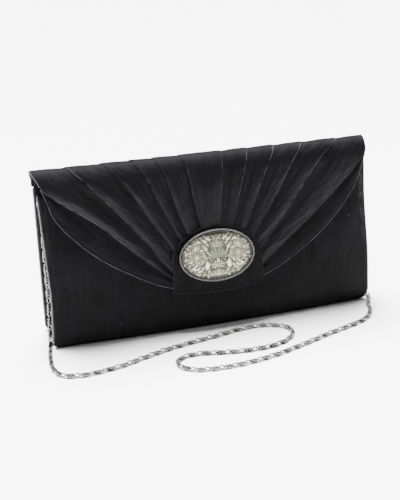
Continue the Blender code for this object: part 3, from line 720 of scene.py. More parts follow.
def pleat(outer, inner, seed, edge_wear_and_highlight=(0, 0, 0), both=False, edge=PLEAT_EDGE, fullness=1.0, fall_from=0.1):
    """One pleat: folded under along its outer line, and running in under the next fold.

    Returns rows of (x, surface height), the rise above the flap's face, how pale its edge is made (partly
    wear, partly painted highlight) and how much of a folded edge it is.
    """
    reach = inner - outer
    width = np.linalg.norm(reach, axis=1)[:, None]
    broad = np.maximum(width, 1e-9)
    tight = np.minimum(1.0, width / 0.007)
    rows = len(outer)
    under = PLEAT_LOW + 0.0003
    along = column(0.0, 1.0, rows)
    over_roll = ramp(outer[:, 1:], 0.126, -0.026)
    puff = np.clip(0.085 * width, 0.0, 0.0021) * fullness
    puff = puff * (0.14 + 0.86 * over_roll) * (1.0 - 0.72 * ramp(along, 0.7, 0.3))
    valley = PLEAT_LOW - 0.00035 * over_roll * np.sin(np.pi * along) * fullness
    distance, rise, folded = [], [], []

    def put(spot, height, fold):
        distance.append(spot)
        rise.append(height + 0 * width)
        folded.append(fold + 0 * width)

    def body(spot, fold):
        t = spot / broad
        if both:
            height = edge - 0.00005 + 0.8 * puff * np.sin(np.pi * np.clip(t, 0, 1)) ** 0.8
        else:
            fall = ramp(t, fall_from, 0.94 - fall_from)
            bulge = np.sin(np.pi * np.clip(t / 0.9, 0, 1) ** 0.85) ** 1.3
            height = edge + (valley - edge) * fall + puff * bulge
        put(spot, height, fold)

    turned_under = [(0.0024, 0.0, under), (0.0009, 0.1, under), (0.0001, 0.5, under + 0.0001),
                    (-0.00008, 1.0, (edge + under) / 2 + 0.0001)]
    near = [(0.00006, 1.0), (0.0003, 0.7), (0.001, 0.0)]
    for d, fold, height in turned_under:
        put(d * tight, height, fold)
    for d, fold in near:
        body(d * tight, fold)
    start = 0.001 * tight
    stop = width - (start if both else 0.0)
    for share in np.linspace(0.0, 1.0, 13)[1:]:
        body(start + (stop - start) * share, 0.0)
    if both:
        for d, fold in near[-2::-1]:
            body(width - d * tight, fold)
        for d, fold, height in turned_under[::-1]:
            put(width - d * tight, height, fold)
    else:
        for d in (0.0014, 0.0034):
            put(width + d * tight, valley - 0.00012, 0.0)
    distance, rise, folded = (np.concatenate(part, axis=1) for part in (distance, rise, folded))
    place = outer[:, None, :] + (reach / broad)[:, None, :] * distance[..., None]
    free = np.sin(np.pi * np.clip(distance / broad, 0, 1)) * (1.0 - 0.6 * ramp(along, 0.75, 0.25))
    length = distances(outer)[:, None]
    soft = ripple(distance * 130.0, length * 16.0, seed * 3.7)
    fine = ripple(distance * 420.0, length * 40.0, seed * 5.1 + 40.0)
    rise = (rise + free * (0.00034 * soft + 0.0001 * fine)) * (0.42 + 0.58 * over_roll)
    return place, rise, folded * np.interp(along, [0.15, 0.55, 0.95], edge_wear_and_highlight), folded


def build_pleats():
    lines = [fold_line(knots) for knots in FOLDS]
    strips = [pleat(lines[k], lines[k + 1], k + 1.0, FOLD_WEAR_AND_HIGHLIGHT[k], fullness=1.1) for k in range(MIDDLE)]
    strips.append(pleat(lines[MIDDLE], lines[MIDDLE + 1], 6.0, FOLD_WEAR_AND_HIGHLIGHT[MIDDLE], both=True))
    for k in range(MIDDLE + 2, len(lines)):
        strips.append(pleat(lines[k], lines[k - 1], k + 8.0, FOLD_WEAR_AND_HIGHLIGHT[k], fullness=0.22, fall_from=0.45))
    # The plain satin between the outermost folds and the flap's edge
    for side, line in ((-1, lines[0]), (1, lines[-1])):
        lower = OUTLINE[::-1]
        lower = lower[(lower[:, 1] <= 0.1146) & (lower[:, 0] >= 0.0296)] * [side, 1.0] + [0.0, 0.0006]
        strips.append(pleat(resampled(lower, FRONT_ROWS), line[-FRONT_ROWS:], 20.0 + side, edge=0.0001,
                            fullness=0.1, fall_from=0.45))
    points, faces, uvs, first = [], [], [], 0
    for place, rise in (strip[:2] for strip in strips):
        x, h = place[..., 0], place[..., 1]
        lift = COVER_LIFT * over_crease(h) + rise * (0.35 + 0.65 * ramp(h, CREASE_H, -0.006))
        spots = flap_points(x, h, lift)
        points.append(spots.reshape(-1, 3))
        uvs.append(cloth_uv(spots).reshape(-1, 2))
        faces.append(grid_faces(*x.shape, first=first, flip=x[0, -1] >= x[0, 0]))
        first += x.size
    wear_and_highlight, folded = (np.concatenate([strip[k].ravel() for strip in strips]) for k in (2, 3))
    cover = add_mesh("pleated_satin", np.concatenate(points), np.concatenate(faces), SATIN, "satin",
                     np.concatenate(uvs), wear_and_highlight)
    store(cover, "fold_edge", folded)
    cover.data.materials.append(PANEL_SATIN)
    pleated = sum(len(part) for part in faces[:-2])
    index = (np.arange(len(cover.data.polygons)) >= pleated).astype(np.int32)
    cover.data.polygons.foreach_set("material_index", index)
    settle(cover, "pleated_cover", "flap")


# ---- walls, base and gussets

# How a panel's satin turns round its board: (distance in from the edge, depth behind the face)
SIDE_TURN = mm([(8.2, 3.05), (2.6, 3), (0.7, 2.9), (0.1, 2), (0, 1), (0.3, 0.3), (1.1, 0)])
FOOT_TURN = mm([(4.2, 3), (1.8, 2.8), (1, 1.9), (0.8, 1), (1.3, 0.3), (2.8, 0)])
FRONT_TOP_TURN = mm([(107.8, 0), (109.2, 0.2), (110.2, 0.9), (110.5, 1.9), (110.1, 3), (109, 3.8),
                     (106, 4), (101.5, 4)])
BACK_TOP_TURN = mm([(108.5, 0), (111.5, 0.1), (113.4, 0.3)])
# The same for the ends of the base, as (distance in from the end, height)
BASE_TURN = mm([(8.5, 3.3), (2.2, 3.2), (0.6, 2.7), (0, 1.7), (0.3, 0.8), (1.2, 0.3), (2.6, 0.2)])
PANEL_THICK = 0.004
SIDE_INSET = 0.0006
SEAM_IN, SEAM_WIDE = 0.0052, 0.0007  # a seam's distance from the side edge, and its width
SNAP_HOLE = 0.0052        # radius of the hole round the snap
CORNERS = {-1: 0.003, 1: 0.0085}  # radius of the lower corners, left and right
POCKET_HALF = 0.055
TAPE_THICK, TAPE_WIDE = 0.0011, 0.0023  # the pale tape along a wall's side edges, partly wear and partly painted sheen


def panel_grid(top_turn, rows, columns):
    """x, z, depth and distance from the side of a panel whose edges turn back round its board."""
    face = np.pad(column(0.005, 0.1055, rows), ((0, 0), (0, 1)))
    z, row_depth = np.concatenate([FOOT_TURN, face, top_turn]).T
    turn = SIDE_TURN
    side = half_width(z) - SIDE_INSET
    ends = []
    for radius in CORNERS.values():
        below = np.clip(radius - (z - FOOT), 0.0, radius)
        ends.append(side - radius + np.sqrt(radius ** 2 - below ** 2))
    low, high = -ends[0][:, None], ends[1][:, None]
    start, stop = low + turn[-1, 0], high - turn[-1, 0]
    x = np.concatenate([low + turn[:, 0], start + (stop - start) * np.linspace(0.0, 1.0, columns)[1:-1],
                        high - turn[::-1, 0]], axis=1)
    column_depth = np.concatenate([turn[:, 1], np.zeros(columns - 2), turn[::-1, 1]])
    row_depth = row_depth[:, None]
    depth = row_depth + column_depth - row_depth * column_depth / PANEL_THICK
    z = np.broadcast_to(z[:, None], x.shape)
    return x, z, depth, half_width(z) - np.abs(x)


def build_front_satin():
    x, z, depth, from_side = panel_grid(FRONT_TOP_TURN, 48, 104)
    seen = ramp(z, outline_height(x), -0.02)
    snap = np.hypot(x, z - SNAP_Z)
    flat = smooth(from_side / 0.02) * smooth(z / 0.015) * ramp(z, 0.108, -0.015)
    flat = flat * ramp(snap, 0.008, 0.02)
    # The padding and its ripples, then the seam's groove and ridge, and the dimple round the snap
    swell = flat * (0.00012 + 0.00075 * seen)
    swell = swell + flat * (0.00008 + 0.00042 * seen) * ripple(x * 26.0, z * 34.0, 2.0)
    swell = swell - 0.0005 * bell(from_side, SEAM_IN, SEAM_WIDE) * smooth(z / 0.01)
    swell = swell + 0.0002 * bell(from_side, 0.0034, 0.0009)
    swell = swell - 0.0003 * (1.0 - ramp(snap, 0.008, 0.004))
    # Paler side edges, partly wear and partly painted highlight, and a paler seam on the right that grows
    # paler upward
    seam_wear = np.where(x > 0, 0.85 * ramp(z, 0.03, 0.05), 0.1)
    wear_and_highlight = seam_wear * bell(from_side, 0.005, SEAM_WIDE) * ramp(z, 0.012, 0.02)
    wear_and_highlight = wear_and_highlight + 0.35 * bell(from_side, SIDE_INSET, SEAM_WIDE)
    points = wall_points(x, z, depth - swell, -1)
    faces = grid_faces(*x.shape)
    faces = faces[snap.ravel()[faces].mean(axis=1) > SNAP_HOLE]
    face = add_mesh("front_satin", points, faces, PANEL_SATIN, "satin", cloth_uv(points), wear_and_highlight)
    settle(face, "front_panel", "front")


def build_back_satin():
    x, z, depth, from_side = panel_grid(BACK_TOP_TURN, 34, 70)
    flat = smooth(from_side / 0.02) * smooth(z / 0.015) * ramp(z, 0.113, -0.02)
    swell = flat * (0.0006 + 0.00055 * ripple(x * 22.0, z * 30.0, 9.0))
    swell = swell - 0.0003 * bell(from_side, SEAM_IN, SEAM_WIDE)
    wear_and_highlight = 0.3 * bell(from_side, SIDE_INSET, SEAM_WIDE)
    points = wall_points(x, z, depth - swell, 1)
    face = add_grid("back_satin", points, PANEL_SATIN, "satin", True, wear_and_highlight)
    settle(face, "back_panel", "root")


def build_wall_lining(name, facing, top, node, body):
    """The lining inside a wall: thin cloth with soft puckers, drawn in along its edges."""
    u = row(-1.0, 1.0, 56)
    z = column(0.0045, top, 26)
    x = u * (half_width(z) - 0.004)
    inside = ramp(np.abs(u), 1.0, -0.05) * ramp(z, 0.004, 0.01) * ramp(z, top, -0.006)
    pucker = inside * (0.00022 + 0.0004 * ripple(x * 40.0, z * 24.0, 12.0 + facing))
    tucks = 0.00022 * np.sin(x * 900.0) * ramp(z, top - 0.012, 0.012)
    points = wall_points(x, z, WALL - 0.0003 + pucker + tucks * inside, facing)
    cloth = add_grid(name, points, LINING, "lining", facing < 0)
    settle(cloth, node, body)


def build_pocket():
    """A slip pocket sewn to the back lining on three sides, its hemmed mouth a little open."""
    foot, cloth_depth = 0.0248, 0.0038
    hem = [(0.079, 0.0), (0.0797, 0.0002), (0.0799, 0.0), (0.0794, -0.0005), (0.078, -0.0009),
           (0.0755, -0.001)]
    flat = [(z, 0.0) for z in (foot, *np.linspace(0.0252, 0.0775, 20))]
    z, thick = np.array(flat + hem).T[..., None]
    u = row(-1.0, 1.0, 36)
    x = u * POCKET_HALF + 0 * z
    slack = ramp(np.abs(u), 1.0, -0.25) * ramp(z, 0.03, 0.05)
    lift = 0.0042 + slack * (0.0011 + 0.0003 * ripple(x * 60.0, z * 30.0, 31.0))
    lift = lift + thick * (0.4 + 0.6 * slack)
    sewn = ramp(np.abs(u), 1.0, -0.03) * ramp(z, foot, 0.002)
    points = wall_points(x, z, np.where(sewn < 1.0, cloth_depth + (lift - cloth_depth) * sewn, lift), 1)
    cloth = add_grid("pocket_cloth", points, LINING, "lining")
    settle(cloth, "inner_pocket", "root")


def build_base():
    """The base's satin, turned up round the ends of its board, and the lining over it."""
    turn = BASE_TURN
    y = column(-1.0, 1.0, 18)
    radius = 0.006
    draw = radius * (1.0 - np.sqrt(1.0 - np.clip((np.abs(y) - 0.7) / 0.3, 0, 1) ** 2))

    def across(x, inset):
        low, high = front_y(x, 0.0) + inset, back_y(x, 0.0) - inset
        return low + (high - low) * (y + 1) / 2

    end = WIDTH / 2 - 0.0014 - draw
    share = row(-1.0, 1.0, 58)[:, 1:-1]
    x = np.concatenate([turn[:, 0] - end, share * (end - turn[-1, 0]), end - turn[::-1, 0]], axis=1)
    rise = np.concatenate([turn[:, 1], np.full(56, turn[-1, 1]), turn[::-1, 1]])
    place = across(x, 0.0012)
    edge = (1.0 - np.abs(y)) * DEPTH / 2
    z = rise + 0.0011 * (1.0 - smooth(edge / 0.0016)) * (rise < 0.0008)
    z = z + 0.00025 * smooth(edge / 0.01) * (rise < 0.0004) * (1 + ripple(x * 40.0, place * 40.0, 17.0))
    made = add_grid("base_satin", np.stack([x, place, z], axis=-1), PANEL_SATIN, "satin", True)
    settle(made, "base_panel", "root")
    u = row(-1.0, 1.0, 60)
    x = u * (WIDTH / 2 - 0.0045) + 0 * y
    place = across(x, 0.005)
    inside = ramp(np.abs(u), 1, -0.05) * ramp(np.abs(y), 1, -0.2)
    z = 0.0038 + 0.0002 * inside * (1 + ripple(x * 50.0, place * 50.0, 21.0)) + 0.0004 * (1 - inside)
    cloth = add_grid("base_lining_cloth", np.stack([x, place, z], axis=-1), LINING, "lining")
    settle(cloth, "base_lining", "root")


def build_gusset(side, word):
    """A side: one sheet folded inward, with soft creases and a hemmed top."""
    hemmed = [(GUSSET_TOP + 0.0004, 0.0004), (GUSSET_TOP - 0.0002, 0.0009)]
    z, hem = np.array([(z, 0.0) for z in np.linspace(0.003, GUSSET_TOP, 34)] + hemmed).T[..., None]
    edge = half_width(z) - GUSSET_LIP
    front, back = front_y(edge, z) + 0.0016, back_y(edge, z) - 0.0016
    t = row(0.0, 1.0, 33)
    soft = np.sin(np.pi * t)
    x = edge - (GUSSET_FOLD - GUSSET_LIP) * (1.0 - np.abs(2 * t - 1.0) ** 1.9)
    x = x + soft * (0.0009 * ripple(z * 45.0, t * 2.2, 50.0 + side) - hem)
    y = front + (back - front) * (t - 0.09 * np.sin(2 * np.pi * t))
    y = y + soft * 0.0005 * ripple(z * 30.0, t * 3.0, 60.0 + side)
    points = np.stack([side * x, y, z + 0 * x], axis=-1)
    made = add_grid(word + "_gusset_satin", points, SATIN, "satin", side > 0, thickness=0.0005, offset=0.0)
    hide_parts(word + "_gusset")
    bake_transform(made)


def build_binding(name, facing, side, top, body):
    """The pale tape round one side edge of a wall, down to its rounded corner; its pale grey is partly wear
    and partly painted sheen.
    """
    radius = CORNERS[side]
    down = np.linspace(top, FOOT + radius, 30)
    angle = np.linspace(0.0, np.pi / 2, 9)[1:]
    x = np.concatenate([half_width(down), half_width(FOOT + radius) - radius + radius * np.cos(angle)])
    z = np.concatenate([down, FOOT + radius - radius * np.sin(angle)])
    turned = np.concatenate([np.zeros(30), angle])
    out = np.stack([side * np.cos(turned), 0 * turned, -np.sin(turned)], axis=1)
    line = wall_points(side * (x - SIDE_INSET - 0.0001), z + 0.0004, 0.0013, facing)
    made = sweep(name + "_tape", line, circle(TAPE_THICK / 2, TAPE_WIDE / 2, 12), out, EDGE_CORD, "binding")
    settle(made, name, body)


# ---- crease, flap lining and piping

def build_creases():
    """The satin and the lining that bend where the flap joins the back wall."""
    u = row(-1.0, 1.0, 70)

    def bent(x, wall, depth, cover, lift):
        return np.concatenate([wall_points(x, wall, depth, 1), flap_points(x, cover, lift)])

    h = column(CREASE_H - 0.0006, CREASE_H - 0.0085, 9)
    points = bent(u * (FLAP_HALF - 0.0012), column(0.1045, 0.1132, 8), -0.00075, h,
                  COVER_LIFT * over_crease(h) + 0.00075)
    points[0, :, 1] -= 0.0008
    points[-1, :, 1] -= 0.0007
    band = add_grid("crease_band", points, PANEL_SATIN, "satin", True, thickness=0.0003)
    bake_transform(band)

    h = column(CREASE_H - 0.0006, CREASE_H - 0.01, 10)
    lift = LINING_LIFT * (over_crease(h) - 1)
    points = bent(u * 0.1284, column(0.101, 0.1128, 9), WALL + 0.0002, h, lift)
    inner = add_grid("inner_crease_band", points, LINING, "lining")
    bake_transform(inner)


def build_flap_lining():
    inset = 0.0016
    u = np.sin(row(-np.pi / 2, np.pi / 2, 74))
    v = column(0.0, 1.0, 60)
    x = u * (FLAP_HALF - inset)
    low = outline_height(x) + inset
    top = CREASE_H - 0.0008
    h = top * (1 - v) + low * v
    rim = smooth(np.minimum((1 - np.abs(u)) * FLAP_HALF / 0.0014, (1 - v) * (CREASE_H - low) / 0.0014))
    snap = np.hypot(x, h - SNAP_Z)
    lift = LINING_LIFT * over_crease(h) - 0.0029 + 0.002 * (1 - rim)
    lift = lift + 0.0005 * (1 - ramp(snap, 0.007, 0.006))
    lift = lift + 0.0001 * rim * ripple(x * 34.0, top * 26.0, 71.0) * ramp(snap, 0.008, 0.01)
    cloth = add_grid("flap_lining_cloth", flap_points(x, h, lift), LINING, "lining", True)
    settle(cloth, "flap_lining", "flap")


def build_piping():
    """The fine pale cord along the flap's edge and round the ends of its roll; its pale grey is partly
    painted reflection, and the paler cord at the left end is painted highlight where that end catches the
    light.
    """
    lower = np.concatenate([OUTLINE[::-1] * [-1.0, 1.0], OUTLINE[1:]])
    left = np.stack([np.full(18, -FLAP_HALF), np.linspace(CREASE_H - 0.001, 0.1165, 18)], axis=1)
    right = left[::-1] * [-1.0, 1.0]
    for name, edge, radius, finish in (("flap_edge_cord", resampled(lower, 260), 0.00024, FINE_CORD),
                                       ("left_roll_cord", resampled(left, 60), 0.00046, EDGE_CORD),
                                       ("right_roll_cord", resampled(right, 60), 0.00024, FINE_CORD)):
        ahead = headings(edge)
        x, h = (edge + np.stack([ahead[:, 1], -ahead[:, 0]], axis=1) * 0.00025).T
        line = flap_points(x, h, COVER_LIFT * over_crease(h) - 0.0005)
        made = sweep(name, line, circle(radius, radius, 8), FRONT_NORMAL, finish, "binding")
        settle(made, "flap_piping", "flap")


# ---- tab and ornament

def build_tab():
    """The plain band under the ornament, its edges folded under, arched round the oval."""
    u = np.sin(row(-np.pi / 2, np.pi / 2, 46))
    v = u.T
    top = TAB_TOP - 0.0045 * u * u
    low = 0.0262 + 0.0034 * u * u
    x = u * TAB_HALF * np.where(v > 0, np.sqrt(1 - 0.75 * v * v), 1.0 - 0.02 * v)
    z = ORNAMENT_Z + v * np.where(v > 0, top - ORNAMENT_Z, ORNAMENT_Z - low)
    edge = np.minimum((1 - np.abs(u)) * TAB_HALF, (1 - np.abs(v)) * (ORNAMENT_Z - 0.029))
    free = ramp(np.hypot(x / ORNAMENT_A, (z - ORNAMENT_Z) / ORNAMENT_B), 1.0, 0.15)
    lift = TAB_FACE - 0.0022 * (1 - smooth(edge / 0.001)) ** 2
    lift = lift + 0.00022 * bell(edge, 0.0012, 0.0006) + free * 0.00016 * ripple(x * 70.0, z * 50.0, 81.0)
    # Pale folded edges, partly wear and partly painted highlight
    wear_and_highlight = 0.13 * bell(edge, 0.0004, 0.0004)
    tab = add_grid("tab_satin", wall_points(x, z, -lift, -1), PANEL_SATIN, "satin", wear_and_highlight=wear_and_highlight)
    settle(tab, "centre_tab", "flap")


def ornament_place():
    """The ornament's own axes: X across, Y up the panel, Z out, origin on its back plate."""
    across = Vector((1.0, 0.0, 0.0))
    turned = Matrix((across, FRONT_NORMAL.cross(across), FRONT_NORMAL)).transposed().to_4x4()
    return Matrix.Translation(on_front(ORNAMENT_X, ORNAMENT_Z, PLATE_LIFT)) @ turned


def oval_ring(name, inset, height, wide, tall, material, strands=0, steps=240, around=12):
    """An oval ring inside the ornament's outline, milled like a rope if it has strands."""
    oval = circle(ORNAMENT_A - inset, ORNAMENT_B - inset, steps)
    line = np.concatenate([oval, np.full((steps, 1), height)], axis=1)
    ahead = headings(line, True)
    up = np.broadcast_to([0.0, 0.0, 1.0], line.shape)
    section = circle(wide, tall, around)[None]
    if strands:
        turn = strands * angles(steps)[:, None] + 3.0 * angles(around)
        section = section * (1.0 + 0.26 * np.cos(turn))[..., None]
    points = carried(line, section, np.cross(ahead, up), up)
    made = add_mesh(name, points, grid_faces(steps, around, True, True), material, "silver")
    made.matrix_world = ornament_place()
    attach(made, "flap")
    return made


def relief(x, y):
    """Height in millimetres and colour of the ornament's relief, in millimetres from its middle.

    A mirrored arrangement of a fan shell, a netted band, drops, wreathed rosettes and leaves.
    """
    x = np.abs(x)
    dark = np.array([0.022, 0.019, 0.014])
    height = 0.05 + 0.05 * np.sin(x * 5.7) * np.sin(y * 5.3)
    colour = np.broadcast_to([0.13, 0.12, 0.1], x.shape + (3,)).copy()

    def put(inside, shape, tone):
        nonlocal height
        higher = inside & (shape > height)
        height = np.where(higher, shape, height)
        colour[higher] = tone

    def leaf(cx, cy, degrees, length, width, tall, tone, rib=0.22):
        angle = math.radians(degrees)
        along = ((x - cx) * math.cos(angle) + (y - cy) * math.sin(angle)) / length
        across = (-(x - cx) * math.sin(angle) + (y - cy) * math.cos(angle)) / width
        half = np.sqrt(np.clip(np.sin(np.pi * np.clip(along, 0, 1) ** 0.8), 1e-6, 1))
        inside = (along > 0) & (along < 1) & (np.abs(across) < half)
        arch = np.sqrt(np.clip(1 - (across / half) ** 2, 0, 1))
        put(inside, tall * (0.35 + 0.65 * arch) * (1 - rib * bell(across, 0.0, 0.16)), tone)

    def pearl(cx, cy, radius, tall, tone):
        r = np.hypot(x - cx, y - cy) / radius
        put(r < 1, tall * (0.3 + 0.7 * np.sqrt(np.clip(1 - r * r, 0, 1))), tone)

    def scroll(cx, cy, radius, turns, start, tall, tone, hand=1.0):
        for k in range(int(26 * turns)):
            share = k / (26 * turns)
            angle = math.radians(start) + hand * 2 * math.pi * turns * share
            r = radius * (1 - 0.8 * share)
            pearl(cx + r * math.cos(angle), cy + r * math.sin(angle), 0.42 * (1 - 0.35 * share), tall, tone)

    silver, bright = (0.38, 0.37, 0.29), (0.86, 0.84, 0.61)
    green, gold, rose = (0.27, 0.3, 0.19), (0.3, 0.29, 0.16), (0.24, 0.195, 0.16)

    for k in range(31 * 25):
        up, across = k // 25 - 15, k % 25
        pearl(across * 1.15 + 0.575 * (up % 2), up, 0.46, 0.42, (0.26, 0.24, 0.2))
    # Small leaves scattered over the ground, turned this way and that
    for k in range(15 * 12):
        across, up = k % 12, k // 12
        spot_x = 1.1 + 2.1 * across + 0.9 * (up % 2) + 0.5 * math.sin(7.1 * k)
        spot_y = -14.5 + 2.05 * up + 0.5 * math.cos(5.3 * k)
        leaf(spot_x, spot_y, 360 * (0.618 * k % 1.0), 2.0, 0.62, 0.52, (silver, green, gold, bright)[k % 4])
    # Palmette at the top and fans over the rosettes
    for k, turn in enumerate((90, 66, 43, 20)):
        leaf(0.0, 6.2, turn, 7.0 - 0.5 * k, 1.05, 0.75, rose if k % 2 else silver)
    for turn in (48, 72, 96, 120, 144):
        leaf(16.3, 5.6, turn, 4.8, 0.85, 0.7, silver if turn % 48 else green)
    scroll(9.7, 9.0, 2.3, 1.3, -40, 0.65, silver)
    leaf(8.3, 4.2, 62, 4.4, 1.0, 0.8, bright)
    leaf(7.4, 10.9, 20, 4.0, 0.85, 0.75, bright)
    # Shell
    reach, turn = np.hypot(x, y + 3.0), np.arctan2(x, y + 3.0)
    wave = np.abs(np.sin(turn * 8.5))
    ribs = 0.8 * (1.0 - wave ** 0.5) * smooth(reach / 2.0)
    put((reach < 8.4 + 0.45 * wave) & (turn < 1.32),
        0.55 + 0.75 * np.sin(np.pi * np.clip(reach / 9.4, 0, 1)) - ribs, green)
    pearl(0.0, -3.4, 1.2, 1.2, bright)
    # Netted band under the shell
    checks = smooth(0.5 + 1.3 * np.sin((x + y) * 1.9) * np.sin((x - y) * 1.9))
    put((x / 5.6) ** 2 + ((y + 7.0) / 2.7) ** 2 < 1, 0.12 + 0.7 * checks, bright)
    # Foot: a bud with side leaves, then the drops
    leaf(0.0, -15.6, 90, 6.0, 1.3, 0.85, silver)
    leaf(0.6, -15.2, 48, 5.6, 1.0, 0.7, silver)
    leaf(1.8, -15.0, 18, 5.8, 0.9, 0.6, green)
    leaf(8.9, -9.8, 94, 6.2, 1.9, 1.15, bright, rib=0.0)
    pearl(8.7, -3.2, 0.7, 0.9, silver)
    # Wreathed rosettes
    cx, cy = 16.4, 0.4
    for k, turn in enumerate(angles(15)):
        leaf(cx + 5.3 * math.cos(turn), cy + 5.3 * math.sin(turn), math.degrees(turn) + 62, 3.1, 0.8, 0.85,
             bright if k % 2 else silver)
    disc = np.hypot(x - cx, y - cy)
    put(disc < 4.7, 0.3 + 0.05 * np.sin(disc * 6.0), gold)
    for turn in angles(22):
        pearl(cx + 4.5 * math.cos(turn), cy + 4.5 * math.sin(turn), 0.42, 0.62, bright)
    for k in range(7):
        leaf(cx, cy, 360 / 7 * k + 12, 3.6, 1.05, 0.78, gold)
    pearl(cx, cy, 1.05, 1.1, bright)
    # Leaves below and beside the rosettes
    for spot in ((11.9, -7.4, -62), (14.0, -7.2, -34), (17.9, -6.9, -20), (13.2, -10.4, -8),
                 (16.4, -9.2, 14), (21.2, -4.6, -36), (22.2, 3.4, 30), (22.4, 6.0, 70), (23.0, -0.8, -12),
                 (19.6, 8.6, 28), (12.4, 10.4, 34), (4.6, 12.4, 8)):
        leaf(*spot, 3.4, 0.85, 0.8, bright if spot[0] < 18 else silver)
    for cx, cy in ((10.6, 1.2), (11.0, -1.4), (6.4, -12.6), (4.6, -13.6), (15.2, 11.6), (2.2, 13.4),
                   (20.8, -8.0)):
        pearl(cx, cy, 0.75, 0.7, silver)
        pearl(cx + 0.9, cy - 1.3, 0.5, 0.55, bright)
    scroll(9.2, -12.6, 1.9, 1.2, 100, 0.6, silver, -1.0)
    scroll(21.2, 8.2, 1.5, 1.1, 200, 0.55, silver)
    # Beaded border
    for turn in np.pi * (np.arange(27) / 26 - 0.5):
        pearl(24.9 * math.cos(turn), 15.0 * math.sin(turn), 0.62, 0.55, silver)
    # Painted light and shade on the colour: low places darker as patina in the hollows, steep sides darker
    # as painted shade, high spots bright as painted highlight
    slope = np.hypot(np.gradient(height, axis=0), np.gradient(height, axis=1))
    lit = (smooth(height / 0.8) ** 0.8 * (1.0 - 0.92 * smooth(slope / 0.26)))[..., None]
    return height, dark + (colour - dark) * lit


def build_ornament():
    rim = oval_ring("ornament_rope_rim", 0.0008, 0.0008, 0.00075, 0.001, RIM_SILVER, strands=92, steps=736)
    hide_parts("medallion_rim")
    oval_ring("ornament_groove", 0.0018, 0.0003, 0.0006, 0.0005, DARK_METAL)
    oval_ring("ornament_inner_bead", 0.0022, 0.0007, 0.00022, 0.0004, RIM_SILVER)
    half_a, half_b = 1000 * ORNAMENT_A - 2.3, 1000 * ORNAMENT_B - 2.3
    u, v = row(-1, 1, 301), column(-1, 1, 195)
    x = half_a * u * np.sqrt(1 - v * v / 2)
    y = half_b * v * np.sqrt(1 - u * u / 2)
    height, colour = relief(x, y)
    out = np.clip(1 - (x / half_a) ** 2 - (y / half_b) ** 2, 0, 1)
    z = 0.35 + 0.75 * out ** 0.7 + 0.9 * height * smooth(out / 0.06)
    points = np.stack([x, y, z], axis=-1) / 1000
    plaque = add_mesh("ornament_relief", points, grid_faces(*x.shape), RELIEF, "plaque")
    tint = np.concatenate([colour, np.ones(x.shape + (1,))], axis=-1)
    store(plaque, "tint", tint, "FLOAT_COLOR", "color")
    plaque.matrix_world = ornament_place()
    settle(plaque, "medallion_plaque", "flap")


# ---- rings and their straps

def build_ring_pieces(side, word):
    centre = np.array([side * RING_X, RING_Y, RING_TOP])
    bar, shoulder = 0.7 * RING_HALF, 0.0009
    outline = [(-bar, 0.0), (0.0, 0.0), (bar, 0.0), (0.92 * RING_HALF, -0.3 * shoulder)]
    outline += [(RING_HALF * math.cos(a), -shoulder - (RING_DROP - shoulder) * math.sin(a))
                for a in np.linspace(0.0, np.pi, 15)]
    outline.append((-0.92 * RING_HALF, -0.3 * shoulder))
    ring = rounded([(x, 0.0, z) for x, z in outline], 5, closed=True) + centre
    link = np.pad(circle(LINK_MAJOR, LINK_MAJOR, 40), ((0, 0), (1, 0)))
    link = link + centre - [0.0, 0.0, RING_DROP + 0.0012]
    loop = [(0.0026, 0.0062), (0.0004, 0.0046), (-0.0014, 0.002)]
    loop += [(-0.0016 * math.cos(a), -0.0016 * math.sin(a)) for a in np.linspace(0.0, np.pi, 9)]
    loop += [(0.002, 0.0016), (0.0027, 0.0036)]
    strap = rounded([(0.0, y, z) for y, z in loop], 5) + centre
    flat_band = np.array([(-0.002, -0.00025), (0.002, -0.00025), (0.00225, 0.0), (0.002, 0.00025),
                          (-0.002, 0.00025), (-0.00225, 0.0)])
    across, through = (1.0, 0.0, 0.0), (0.0, 1.0, 0.0)
    made = sweep(word + "_wire_ring", ring, circle(RING_R, RING_R, 12), through, SILVER, "silver", True)
    settle(made, word + "_d_ring", word + "_ring")
    made = sweep(word + "_end_loop", link, circle(LINK_R, LINK_R, 10), across, SILVER, "silver", True)
    settle(made, word + "_end_link", "root")
    made = sweep(word + "_ring_strap", strap, flat_band, across, LINING, "satin")
    settle(made, word + "_ring_tab", "root")


# ---- stitching

def stitches(name, lines, outward, body):
    """Short raised stitches along each line; outward points away from the cloth."""
    length, gap, radius, sides = 0.002, 0.0011, 0.00016, 6
    points, faces = [], []
    rise = np.array([0.0, 0.45, 1.0, 1.0, 0.45, 0.0])
    thick = radius * (0.45 + 0.55 * rise)
    section = circle(1.0, 1.0, sides)[None] * thick[:, None, None]
    up = np.broadcast_to(outward, (len(rise), 3))
    for line in lines:
        along = distances(line)
        for k in range(int(along[-1] / (length + gap))):
            spine = looked_up(k * (length + gap) + np.linspace(0.0, length, len(rise)), along, line)
            across = np.broadcast_to(unit(np.cross(spine[-1] - spine[0], outward)), up.shape)
            spine = spine + up * (rise * radius * 1.1)[:, None]
            faces.append(grid_faces(len(rise), sides, True, first=len(rise) * sides * len(points)))
            points.append(carried(spine, section, across, up).reshape(-1, 3))
    made = add_mesh(name, np.concatenate(points), np.concatenate(faces), STITCH, "satin")
    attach(made, body)


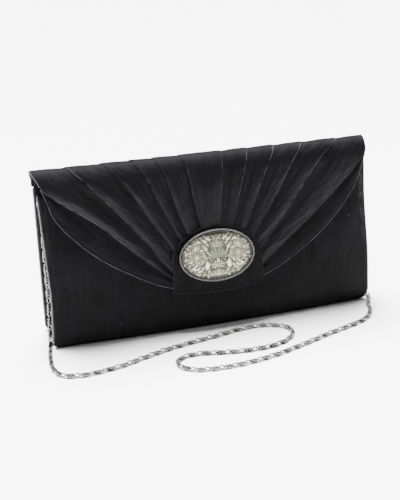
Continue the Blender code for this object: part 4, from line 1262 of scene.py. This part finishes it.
def build_stitching():
    front_in = -np.array(FRONT_NORMAL)
    back_out = unit(np.array([0.0, 1.0, BACK_LEAN]))
    x = np.linspace(-0.124, 0.124, 120)
    stitches("front_hem_stitches", [wall_points(x, 0.1035, 0.0041, -1)], front_in, "front")
    stitches("crease_stitches", [wall_points(x * 1.03, 0.1063, -0.0011, 1)], back_out, "root")
    z = np.linspace(0.0262, 0.077, 50)
    across = np.linspace(-0.053, 0.053, 60)
    pocket = [wall_points(side * 0.0538, z, 0.0043, 1) for side in (-1, 1)]
    pocket.append(wall_points(across, 0.026, 0.0041, 1))
    pocket.append(wall_points(across, 0.0764, 0.0043 + 0.0013 * ramp(np.abs(across), 0.055, -0.014), 1))
    stitches("pocket_stitches", pocket, -back_out, "root")
    x = np.linspace(-0.1245, 0.1245, 200)
    edge = flap_points(x, outline_height(x) + 0.005, 0.0004)
    stitches("flap_edge_stitches", [edge], front_in, "flap")


# ---- carried-over CAD pieces

CAD_FINISHES = [
    (BOARD, ("front_board", "back_board", "base_board", "flap_board")),
    (FELT, ("roll_wadding",)),
    (MAGNET, ("snap_magnet",)),
    (SILVER, ("snap_socket_case", "snap_stud")),
    (STEEL, ("snap_socket_washer", "snap_stud_washer", "medallion_back_plate", "medallion_left_post",
             "medallion_right_post", "medallion_left_washer", "medallion_right_washer")),
]


def finish_cad_nodes():
    for finish, names in CAD_FINISHES:
        for name in names:
            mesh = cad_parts[name].data
            mesh.materials.clear()
            mesh.materials.append(finish)


add_camera()
add_studio()
build_chain()
build_pleats()
build_front_satin()
build_back_satin()
build_wall_lining("front_lining_cloth", -1, 0.104, "front_lining", "front")
build_wall_lining("back_lining_cloth", 1, 0.1128, "back_lining", "root")
build_pocket()
build_base()
for side, word in ((-1, "left"), (1, "right")):
    build_gusset(side, word)
    build_binding("front_" + word + "_binding", -1, side, 0.109, "front")
    build_binding("back_" + word + "_binding", 1, side, 0.112, "root")
    build_ring_pieces(side, word)
build_creases()
build_flap_lining()
build_piping()
build_tab()
build_ornament()
build_stitching()
finish_cad_nodes()
